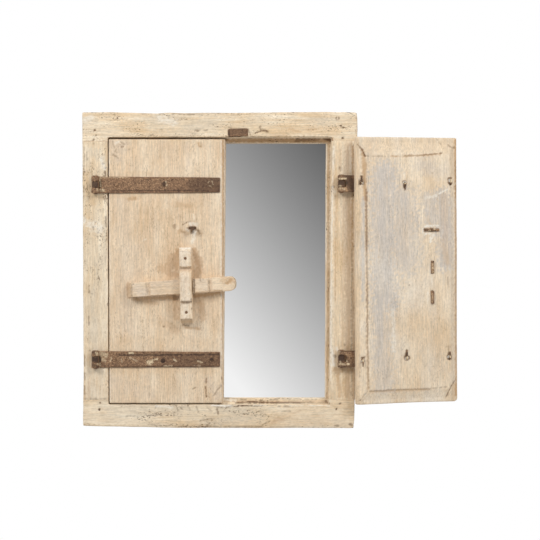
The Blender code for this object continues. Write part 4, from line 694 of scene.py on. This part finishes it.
RIGHT_BOARD_MARKS = [
    # The turned edge and the flat margin beside it, with painted shade on the margin's upper part beside
    # the field
    (TAN, 354.6, 145, 354.8, 404, 0.8, 0.95), (TAN, 357.4, 140, 357.8, 402, 2, 0.8),
    (TAN, 366, 146, 452, 146, 7, 0.4), (GREY, 363, 198, 363.4, 300, 1.6, 0.9),
    (TAN, 363.4, 152, 364.6, 194, 2, 0.75), (SHADE, 361.8, 151, 365, 166, 1.4, 0.6),
    (SHADE, 364, 164, 365.4, 200, 1.8, 0.65),
    # Scribed lines and splits round the raised field, dented in, with painted shade along them
    (SHADE, 365.8, 190, 367.8, 389, 1.2, 0.38), (DARK, 366.2, 190, 366.8, 250, 0.9, 0.6, 0.9),
    (DARK, 366.8, 250, 367.6, 320, 0.8, 0.5, 0.8), (DARK, 367.4, 320, 368.4, 389, 0.8, 0.4, 0.8),
    (DARK, 357.4, 144.4, 361.4, 149, 0.6, 0.65, 0.8), (DARK, 361.4, 149, 365, 156, 0.8, 0.9, 1),
    (DARK, 360, 400.6, 367.4, 391.4, 0.5, 0.55, 0.6), (DARK, 366, 156, 385, 156.4, 0.4, 0.4, 0.4),
    (SHADE, 391, 156.2, 404, 156.6, 0.7, 0.7, 0.4), (DARK, 404, 156, 424, 155.2, 0.8, 0.35, 0.5),
    (SHADE, 404, 156.2, 440, 154, 1, 0.5), (DARK, 424, 155, 438, 153.8, 0.5, 0.65, 0.5),
    (DARK, 437, 139.6, 441, 145, 0.5, 0.35, 0.3), (DARK, 448, 145, 453, 148.6, 0.5, 0.5, 0.3),
    (DARK, 440.4, 153.3, 441.2, 153.3, 0.9, 0.75, 0.6), (DARK, 454, 147.4, 454.4, 148.6, 0.8, 0.6, 0.5),
    (DARK, 370, 391.6, 386, 391, 0.8, 0.35, 0.5), (SHADE, 370, 391.8, 430, 389.4, 1, 0.4),
    (DARK, 386, 390.4, 430, 389.2, 0.8, 0.35, 0.5), (DARK, 430, 388.8, 449, 386.6, 0.45, 0.45, 0.5),
    (DARK, 455.8, 379, 450.4, 388, 0.5, 0.75, 0.6), (DARK, 450.4, 388, 445.4, 398.6, 0.5, 0.75, 0.6),
    # The free side's worn arris
    (SHADE, 455.4, 140, 456, 395, 0.9, 0.85, 0.2), (DARK, 455.8, 160, 456.2, 350, 0.5, 0.4, 0.2),
    (TAN, 452.6, 150, 453.6, 398, 2.4, 0.3),
    # Torn wood at the clinched nails
    (DARK, 361.2, 176.6, 361.2, 180.6, 1.2, 0.9, 0.6), (DARK, 361.1, 182.9, 361.1, 182.9, 2.3, 0.8, 0.4),
    *spots(
        LIME_AND_HIGHLIGHT, (361.1, 183.2, 1.3, 3), (404.6, 182.6, 1.4, 3), (450.4, 180.8, 1.2, 3),
        (362.7, 360.2, 1, 3), (407, 358.4, 1.4, 3), (449.2, 356.8, 1.3, 3),
    ),
    (DARK, 404.6, 182.4, 404.6, 182.4, 2.3, 0.75, 0.4), (DARK, 404.6, 185, 404.6, 187.4, 1.2, 0.9, 0.6),
    (LIME_AND_HIGHLIGHT, 404.6, 174, 404.8, 178, 0.9, 0.3), (DARK, 449.2, 178.4, 449, 183, 1.2, 0.85, 0.5),
    (DARK, 450.4, 178, 451.2, 178.4, 0.8, 0.7, 0.4), (DARK, 450.4, 183.4, 451.6, 182.8, 0.8, 0.7, 0.4),
    (DARK, 361.4, 358, 364.4, 357.4, 0.7, 0.8, 0.4), (DARK, 361.4, 362.2, 362, 361.8, 0.7, 0.6, 0.4),
    (DARK, 364.2, 358.6, 363.8, 361.6, 0.7, 0.75, 0.4), (DARK, 406.8, 350, 406.4, 354.6, 1.3, 0.9, 0.6),
    (DARK, 407, 358, 407, 358, 2.8, 0.9, 0.6), (DARK, 446.4, 346.6, 450.4, 346.8, 0.5, 0.35, 0.2),
    (DARK, 448.6, 346, 448.8, 352, 0.7, 0.4, 0.3), (DARK, 449.1, 352.6, 449.1, 354.6, 1.2, 0.85, 0.6),
    (DARK, 449.3, 357, 449.3, 357.6, 2.6, 0.9, 0.6),
    # Pale torn wood round the chain staple's and the catch's ends
    (LIME_AND_HIGHLIGHT, 424.4, 226.2, 438, 225.6, 0.9, 0.9), (LIME_AND_HIGHLIGHT, 423, 229, 423.6, 234, 0.9, 0.6),
    (LIME_AND_HIGHLIGHT, 426, 233.6, 432, 233.8, 0.8, 0.8), (LIME_AND_HIGHLIGHT, 432.4, 234, 430.4, 240.6, 1.6, 0.75),
    (LIME_AND_HIGHLIGHT, 430.2, 262, 430.4, 275, 0.7, 0.5), (LIME_AND_HIGHLIGHT, 427.8, 292, 427.6, 304, 0.7, 0.5),
    (LIME_AND_HIGHLIGHT, 432, 277, 432, 287, 0.6, 0.35),
    # Saw marks and a pale scratch
    (LIME_AND_HIGHLIGHT, 425, 198.4, 436, 195.4, 1.4, 0.5), (LIME_AND_HIGHLIGHT, 436, 195.4, 447, 189.4, 0.7, 0.7),
    (DARK, 409.6, 285.4, 409.6, 285.4, 0.8, 0.75, 0.5), (DARK, 432, 172.8, 432.6, 173.2, 0.7, 0.5, 0.4),
    (DARK, 448, 277, 448.4, 287, 0.5, 0.4, 0.2), (DARK, 433.4, 366.4, 433.4, 366.6, 0.6, 0.6, 0.3),
    (DARK, 413, 389.6, 413.2, 400.6, 0.4, 0.25),
    # Greyed, warm and sanded areas of the field
    (GREY, 384, 176, 384, 300, 14, 0.95), (GREY, 402, 200, 404, 258, 16, 0.75),
    (GREY, 442, 196, 446, 262, 8, 0.95), (GREY, 428, 200, 436, 218, 8, 0.7),
    (GREY, 380, 300, 384, 385, 10, 0.65), (GREY, 420, 165, 440, 172, 7, 0.4),
    (LIME_AND_HIGHLIGHT, 393, 310, 394, 350, 1.8, 0.45), (TAN, 420, 315, 446, 345, 12, 0.6),
    (TAN, 395, 325, 440, 350, 8, 0.3), (TAN, 372, 397, 446, 394, 4, 0.35),
    (TAN, 404, 360, 408, 380, 4, 0.4), (TAN, 440, 240, 448, 262, 3, 0.4),
    (SHADE, 444, 196, 447, 262, 3.6, 0.2), (LIME_AND_HIGHLIGHT, 372, 262, 420, 305, 12, 0.2),
    (LIME_AND_HIGHLIGHT, 368, 398, 440, 396, 5, 0.3), (LIME_AND_HIGHLIGHT, 452.6, 200, 453.2, 380, 3, 0.25),
]
KEEPER_MARKS = [
    # Hollows beside the bolt darkened with painted shade, painted shade at the foot and down the right
    # side, worn ends and a pale face
    (DARK, 178.4, 268.6, 191, 268.8, 0.7, 0.25, 0.2), (TAN, 179.6, 270, 190.6, 270, 2.6, 0.9),
    (SHADE, 178, 269.6, 191.6, 269.2, 1.2, 0.6), (DARK, 191.6, 250.4, 191.8, 253.6, 0.7, 0.6, 0.3),
    (DARK, 180, 251.4, 190.6, 252, 0.5, 0.35, 0.2), (DARK, 179.4, 302.4, 191.6, 302, 0.6, 0.4, 0.3),
    (SHADE, 179.4, 302.4, 191.6, 302, 0.9, 0.6), (DARK, 191.4, 299.6, 191.8, 302, 0.8, 0.7, 0.3),
    (DARK, 180.4, 320, 192, 319.6, 0.6, 0.35, 0.2), (TAN, 182, 322.6, 190, 322.4, 3, 1),
    (SHADE, 183, 321.8, 190, 321.6, 2.6, 0.7), (SHADE, 181, 322.6, 191, 322.2, 2, 0.5),
    (DARK, 191.8, 308, 192, 309.4, 0.8, 0.6, 0.3), (SHADE, 192.6, 250, 193, 318, 0.8, 0.5),
    (TAN, 179.4, 272, 179.6, 300, 0.8, 0.6), (LIME_AND_HIGHLIGHT, 184, 250, 186, 316, 5, 0.3),
    (LIME_AND_HIGHLIGHT, 180, 248.6, 190, 248.4, 1, 0.6),
]
BOLT_MARKS = [
    # From the stop block at the left to the lug at the right, with painted shade down the blocks' sides and
    # along the lower edge
    (SHADE, 129, 284, 130, 296, 1.4, 0.5, 0.2), (DARK, 131.6, 285, 132, 296, 0.6, 0.45, 0.2),
    (DARK, 146, 283.4, 147.6, 293, 0.7, 0.3, 0.3), (DARK, 133, 284, 133.6, 284, 0.6, 0.5, 0.2),
    (GREY, 137, 286, 144, 294, 4, 0.5), (LIME_AND_HIGHLIGHT, 135.6, 290.2, 143.6, 289.4, 6, 0.2),
    (SHADE, 148.8, 284, 149.6, 295, 1.2, 0.35), (GREY, 152, 282, 176, 280, 4, 0.55),
    (DARK, 150, 280.4, 176, 278.8, 0.5, 0.3, 0.2), (DARK, 194, 277, 194.2, 292, 0.8, 0.75, 0.2),
    (DARK, 208.6, 276, 209.6, 290, 0.6, 0.35, 0.2), (GREY, 200, 280, 204, 288, 3.4, 0.3),
    (LIME_AND_HIGHLIGHT, 197.4, 284.4, 206, 283.8, 6, 0.14), (SHADE, 210.8, 276, 211.6, 290, 1, 0.35),
    (DARK, 200, 277.4, 200.6, 281, 0.6, 0.5, 0.2), (TAN, 224, 280, 234, 280, 4, 0.95),
    (SHADE, 227, 283, 231, 280, 1.4, 0.6, 0.2), (DARK, 194, 276.4, 206, 275.6, 0.5, 0.45),
    (SHADE, 150, 296, 176, 294.6, 0.9, 0.7), (SHADE, 196, 292.4, 222, 290.4, 0.8, 0.6),
]
IRON_MARKS = [
    # Upper strap: flecked towards the hinge, dark towards its end, with a dark rib along the foot
    (GREY, 92, 185, 165, 185, 9, 0.38), (GREY, 165, 185, 190, 185, 8, 0.2),
    (DARK, 196, 185, 218, 185, 8, 0.4), (DARK, 112, 190.9, 208, 190.4, 0.7, 0.7, 0.3),
    (LIME_AND_HIGHLIGHT, 101, 177.4, 130, 177.4, 0.5, 0.45), (LIME_AND_HIGHLIGHT, 100.2, 178, 100.2, 186.4, 0.7, 0.95),
    (LIME_AND_HIGHLIGHT, 98.4, 190, 103, 190.6, 1.6, 0.75), (DARK, 163.9, 183.7, 163.9, 184.2, 1.9, 0.85),
    (LIME_AND_HIGHLIGHT, 166.2, 181.6, 166.4, 185.6, 0.6, 0.6), (DARK, 210.6, 183.7, 210.6, 183.7, 1.4, 0.7),
    (LIME_AND_HIGHLIGHT, 208.3, 182.6, 209.4, 181.2, 0.5, 0.55), (LIME_AND_HIGHLIGHT, 212.2, 181.4, 213, 184.4, 0.5, 0.55),
    (LIME_AND_HIGHLIGHT, 208.9, 185.8, 211.6, 186.4, 0.5, 0.45), (DARK, 92, 184.8, 98.6, 184.8, 2.8, 0.8),
    # Lower strap: pale crusts, a dark rib along the head
    (GREY, 92, 360, 150, 360, 9, 0.4), (DARK, 120, 355.2, 219, 354.8, 0.8, 0.75, 0.4),
    (DARK, 112, 366.8, 214, 366.2, 0.7, 0.5, 0.2), (DARK, 180, 361, 219, 361, 6, 0.2),
    (LIME_AND_HIGHLIGHT, 148.6, 362.2, 152, 360.8, 1.7, 0.95), (LIME_AND_HIGHLIGHT, 152, 360.2, 157, 359.2, 0.8, 0.9),
    (LIME_AND_HIGHLIGHT, 149.4, 364.2, 150.6, 364.8, 0.9, 0.7), (LIME_AND_HIGHLIGHT, 129, 352.8, 133, 352.8, 0.8, 0.8),
    (LIME_AND_HIGHLIGHT, 98, 353.6, 106, 355, 2, 0.65), (LIME_AND_HIGHLIGHT, 102, 358.6, 105, 361.4, 1.2, 0.6),
    (LIME_AND_HIGHLIGHT, 98.6, 364, 100, 365.4, 1.2, 0.85), (LIME_AND_HIGHLIGHT, 173.8, 359.2, 176, 361, 0.8, 0.8),
    (LIME_AND_HIGHLIGHT, 198, 361.2, 202, 362.4, 0.8, 0.7), (LIME_AND_HIGHLIGHT, 111, 357.4, 110.6, 361, 0.7, 0.65),
    (LIME_AND_HIGHLIGHT, 121.4, 358.4, 122, 361.6, 0.6, 0.5), (LIME_AND_HIGHLIGHT, 130, 357.6, 137, 361, 0.6, 0.55),
    (LIME_AND_HIGHLIGHT, 164, 366, 172, 366, 0.5, 0.6), (LIME_AND_HIGHLIGHT, 194, 365.4, 200, 366, 0.5, 0.5),
    (DARK, 162.8, 360.4, 162.8, 361, 2, 0.85), (DARK, 211.6, 359, 211.6, 359, 1.6, 0.9),
    (DARK, 196.6, 359.4, 199, 359.2, 1.2, 0.5), (DARK, 92, 359.2, 98.4, 359.4, 2.6, 0.9),
    (DARK, 92.6, 352, 96, 353, 1.6, 0.5), (DARK, 93, 365, 97, 367, 1.8, 0.5),
    # Right hinges: worn pale knuckles round dark cotters, with painted highlights above and below the upper
    # cotter
    (GREY, 338, 177, 344, 177, 3, 0.5), (LIME_AND_HIGHLIGHT, 338.6, 178.8, 346, 178.6, 0.7, 0.85),
    (LIME_AND_HIGHLIGHT, 339, 188.6, 345, 189, 0.8, 0.45), (GREY, 338, 190, 347, 190, 4, 1),
    (LIME_AND_HIGHLIGHT, 337.8, 186, 341, 186.2, 0.7, 0.7), (DARK, 338, 183, 346, 183, 2.4, 0.8),
    (DARK, 348, 176, 352, 192, 4, 0.6), (DARK, 341, 176, 341, 191, 4, 0.25),
    (DARK, 347, 174.8, 353, 174.8, 0.7, 0.6), (DARK, 337.6, 357.8, 344.6, 357.8, 3, 0.85),
    (GREY, 340, 364, 352, 364, 4, 0.6), (DARK, 340, 362, 352, 364, 6, 0.3),
    (LIME_AND_HIGHLIGHT, 345.6, 360.4, 346.8, 361.2, 0.6, 1), (LIME_AND_HIGHLIGHT, 347.6, 363.8, 348.6, 364.2, 0.8, 1.5),
    (LIME_AND_HIGHLIGHT, 338.6, 352.4, 338.2, 355, 0.5, 1), (LIME_AND_HIGHLIGHT, 340, 361.4, 341, 364.8, 0.5, 0.9),
    (LIME_AND_HIGHLIGHT, 338, 363.6, 345, 364.6, 1, 0.5), (LIME_AND_HIGHLIGHT, 337.6, 351.6, 340, 351.6, 0.8, 0.6),
    (DARK, 340, 351.4, 353, 351.2, 0.8, 0.6), (DARK, 339, 366.8, 352, 366.6, 0.7, 0.6),
    (GREY, 347, 354, 352, 362, 4, 0.7),
    # Iron in the top rail, and the left chain staple
    (DARK, 232, 130.4, 248, 130.6, 4, 0.25), (DARK, 229.4, 130, 229.4, 135.6, 0.9, 0.7),
    (DARK, 240, 129.6, 247, 130.2, 0.8, 0.35), (DARK, 188, 228, 197, 228, 2.6, 0.55),
    # Bright ends of the clinched nails and staples
    *spots(
        LIME_AND_HIGHLIGHT, (361.1, 183.4, 1.3, 3), (404.6, 182.4, 1.4, 3), (450.4, 181, 1.2, 3),
        (362.8, 360.2, 1, 3), (407, 358.4, 1.3, 3), (449.2, 356.8, 1.3, 3),
    ),
    (DARK, 361.2, 177, 361.2, 181, 1.3, 0.8), (DARK, 404.6, 185, 404.6, 188, 1.3, 0.8),
    (DARK, 406.8, 350, 406.6, 355, 1.3, 0.8), (DARK, 449, 350, 449.2, 354, 1.3, 0.8),
    (GREY, 424, 230, 438, 230, 2.4, 0.5), (DARK, 424, 229.4, 430, 230.4, 1.2, 0.5),
    (DARK, 431, 231, 435, 230.4, 1.2, 0.5), (LIME_AND_HIGHLIGHT, 429.4, 230.4, 430.2, 230.6, 0.7, 0.8),
    (LIME_AND_HIGHLIGHT, 434.4, 229.2, 435, 229.4, 0.6, 0.7), (GREY, 433, 263, 432.6, 274, 2.2, 1),
    (GREY, 431.4, 293, 431, 302, 2.2, 1), (DARK, 433.4, 261.4, 433.4, 262.4, 1, 0.6),
    (DARK, 432.4, 274.6, 433, 275, 1.2, 0.6), (DARK, 430.6, 303.4, 430.6, 303.6, 1.3, 0.6),
    (DARK, 429.2, 292, 428.6, 300, 0.6, 0.6), (LIME_AND_HIGHLIGHT, 433, 264, 433, 273, 0.5, 0.8),
    (LIME_AND_HIGHLIGHT, 432.8, 294, 432.8, 302, 0.4, 0.5),
]

# The worn pieces: cell, relief and limit in metres, and a seed for each piece
ALONG = (1, 0, 0)
UPRIGHT = (0, 0, 1)
BOLT_RUN = next(j["axis"] for j in frame["record"]["behaviour"]["joints"] if j["name"] == "bolt_slide")
timber_wear = {"cell": 0.0016, "rounds": 5, "wear": (0.1, 1.0), "relief": 0.00045}
left_side = profiled(X, -1, LEFT_PROFILE)
head_line, right_of_head = profiled(Z, 1, HEAD_PROFILE), profiled(X, 1, RIGHT_HEAD_PROFILE)
foot_line, right_of_foot = profiled(Z, -1, FOOT_PROFILE), profiled(X, 1, RIGHT_FOOT_PROFILE)
for node, run, seed, marks, reshaped in (
    ("top_rail", ALONG, 1, TOP_RAIL_MARKS, (head_line, right_of_head, left_side)),
    ("bottom_rail", ALONG, 2, BOTTOM_RAIL_MARKS, (foot_line, right_of_foot, left_side)),
    ("left_stile", UPRIGHT, 3, LEFT_STILE_MARKS, (tight_shoulders, left_side)),
    ("right_stile", UPRIGHT, 4, RIGHT_STILE_MARKS, (tight_shoulders, profiled(X, 1, RIGHT_PROFILE))),
):
    worn(node, LIMED_TIMBER, run=run, seed=seed, marks=marks, reshaped=reshaped, **timber_wear)

plank_wear = {"cell": 0.0015, "rounds": 3, "wear": (0.1, 0.9), "relief": 0.0002, "limit": 0.0008}
worn("left_shutter_board", SANDED_PLANK, run=UPRIGHT, seed=5, marks=LEFT_BOARD_MARKS, **plank_wear)
leaf_lines = (
    profiled(X, 1, LEAF_SIDE_PROFILE),
    profiled(Z, 1, LEAF_HEAD_PROFILE),
    profiled(Z, -1, LEAF_FOOT_PROFILE, reach=LEAF_FOOT_REACH),
    knocked_corner,
)
leaf = {"run": UPRIGHT, "seed": 6, "marks": RIGHT_BOARD_MARKS, "reshaped": leaf_lines}
worn("right_shutter_board", INNER_PLANK, **leaf, **plank_wear)

carved_wear = {"cell": 0.0009, "rounds": 4, "wear": (0.3, 1.0), "relief": 0.0002}
worn("bolt_keeper", SANDED_PLANK, run=UPRIGHT, seed=7, marks=KEEPER_MARKS, **carved_wear)
worn("latch_bolt", SANDED_PLANK, run=BOLT_RUN, seed=8, marks=BOLT_MARKS, **carved_wear)

straps = sorted(node for node in BODY_OF if node.startswith("strap_") and "nail" not in node)
small_kinds = ("hinge_cotter", "hinge_pin", "strap_nail", "corner_nail", "keeper_nail")
small_irons = sorted(node for node in BODY_OF if node.startswith(small_kinds))
single_irons = ("left_chain_staple", "right_chain_staple", "bolt_catch", "top_rail_iron")
strap_wear = {"cell": 0.0009, "rounds": 4, "wear": (0.2, 1.0), "relief": 0.0003}
small_wear = {"cell": 0.0005, "rounds": 2, "wear": (0.3, 1.0), "relief": 0.00012}
for nodes, run, first_seed, iron_wear in (
    (straps, ALONG, 20, strap_wear),
    (small_irons, UPRIGHT, 40, small_wear),
    (single_irons, UPRIGHT, 80, small_wear),
):
    for number, node in enumerate(nodes):
        worn(node, RUSTED_IRON, run=run, seed=first_seed + number, marks=IRON_MARKS, **iron_wear)


# Pieces that keep their solids
def dressed(node, look):
    solid = frame["nodes"][node]
    for place in solid.material_slots:
        place.material = look
    if not solid.material_slots:
        solid.data.materials.append(look)


for node in BODY_OF:
    if node == "mirror_glass":
        dressed(node, SILVERED_GLASS)
    elif node == "backing_board" or (node.startswith("batten") and "nail" not in node):
        dressed(node, PLYWOOD)
    elif node.startswith(("hanging_eye", "batten")):
        dressed(node, ZINC)


# Stage: floor, light, the card that the mirror shows, and the camera
WHITE = (1, 1, 1, 1)
LAMP_TARGET = Vector((0.05, 0.0, -0.25))
LAMP_SIZE = 0.8
# Two corners of the glass, between which the card is graded
GRADED_FROM, GRADED_TO = (0.0055, -0.0290), (0.1890, -0.4880)
CARD_MARGIN = 0.8
# Tones of the card: its darkest one, and what is added across it and down it
CARD_DARKEST, CARD_ACROSS, CARD_DOWN = 108 / 255, 51 / 255, 109 / 255
TONE_POWER = 2.2
FLOOR_WHITE_SHARE = 0.75


def lamp(name, place, power):
    data = bpy.data.lights.new(name, "AREA")
    data.shape = "DISK"
    data.size = LAMP_SIZE
    data.energy = power
    made = placed(name, data)
    made.location = place
    made.rotation_euler = (LAMP_TARGET - Vector(place)).to_track_quat("-Z", "Y").to_euler()


def stood(name, mesh, look):
    """An object made of a bmesh."""
    data = bpy.data.meshes.new(name)
    mesh.to_mesh(data)
    mesh.free()
    data.materials.append(look)
    return placed(name, data)


def camera_light(tree, kinds):
    """1 for the kinds of ray that are to see plain white, and 0 for the rest."""
    path = add(tree, "ShaderNodeLightPath")
    total = path[kinds[0]]
    for kind in kinds[1:]:
        total = reckoned(tree, "ADD", total, path[kind])
    return total


def sky(ambient):
    world = bpy.data.worlds.new("studio")
    world.use_nodes = True
    tree = world.node_tree
    seen = camera_light(tree, ("Is Camera Ray", "Is Glossy Ray", "Is Transmission Ray"))
    level = spread(tree, seen, 0.0, 1.0, ambient, 1.0)
    feed(tree, tree.nodes["Background"], {"Strength": level, "Color": WHITE})
    bpy.context.scene.world = world


def floor(z, half):
    look, tree, shader = fresh_material("pale_floor")
    feed(tree, shader, {"Base Color": "#F2F1EE", "Roughness": 0.9})
    white = add(tree, "ShaderNodeEmission", {"Color": WHITE, "Strength": 1.0})[0]
    seen = camera_light(tree, ("Is Camera Ray", "Is Glossy Ray"))
    share = reckoned(tree, "MULTIPLY", seen, FLOOR_WHITE_SHARE)
    surface = add(tree, "ShaderNodeMixShader", {0: share, 1: shader.outputs[0], 2: white})[0]
    feed(tree, tree.nodes["Material Output"], {"Surface": surface})
    mesh = bmesh.new()
    bmesh.ops.create_grid(mesh, x_segments=2, y_segments=2, size=half)
    made = stood("floor", mesh, look)
    made.location = (0, 0, z)


def reflected_card(distance):
    """The studio card behind the camera: dark at one upper corner, white at the lower other one."""
    glass_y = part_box("mirror_glass")[0][Y]
    reach = (distance + glass_y) / (glass_y - EYE.y)

    def seen_at(x, z):
        return x + (x - EYE.x) * reach, z + (z - EYE.z) * reach

    (left, top), (right, bottom) = seen_at(*GRADED_FROM), seen_at(*GRADED_TO)
    look, tree, _ = fresh_material("studio_card")
    place = add(tree, "ShaderNodeTexCoord")["Object"]
    split = add(tree, "ShaderNodeSeparateXYZ", {0: place})
    across = spread(tree, split["X"], right, left, 0.0, CARD_ACROSS, clamp=False)
    down = spread(tree, split["Z"], top, bottom, 0.0, CARD_DOWN, clamp=False)
    sloped = reckoned(tree, "ADD", across, down, use_clamp=False)
    light = reckoned(tree, "POWER", reckoned(tree, "ADD", sloped, CARD_DARKEST), TONE_POWER)
    glow = add(tree, "ShaderNodeEmission", {"Color": WHITE, "Strength": light})[0]
    feed(tree, tree.nodes["Material Output"], {"Surface": glow})
    mesh = bmesh.new()
    x0, x1, z0, z1 = left - CARD_MARGIN, right + CARD_MARGIN, bottom - CARD_MARGIN, top + CARD_MARGIN
    corners = ((x0, z0), (x1, z0), (x1, z1), (x0, z1))
    mesh.faces.new([mesh.verts.new((x, -distance, z)) for x, z in corners])
    made = stood("studio_card", mesh, look)
    made.visible_camera = made.visible_diffuse = made.visible_shadow = False


sky(ambient=0.42)
floor(z=-1.75, half=3.0)
reflected_card(distance=2.6)
lamp("left_softbox", (-1.5, -1.9, 1.3), power=35.4)
lamp("right_softbox", (1.6, -1.8, 1.4), power=31.2)

camera_data = bpy.data.cameras.new("camera")
camera_data.sensor_width = SENSOR * 1000
camera_data.lens = LENS * 1000
camera = placed("camera", camera_data)
camera.location = EYE
camera.rotation_euler = (math.pi / 2, 0, 0)
bpy.context.scene.camera = camera
bpy.context.scene.view_settings.view_transform = "Standard"

bpy.context.view_layer.update()
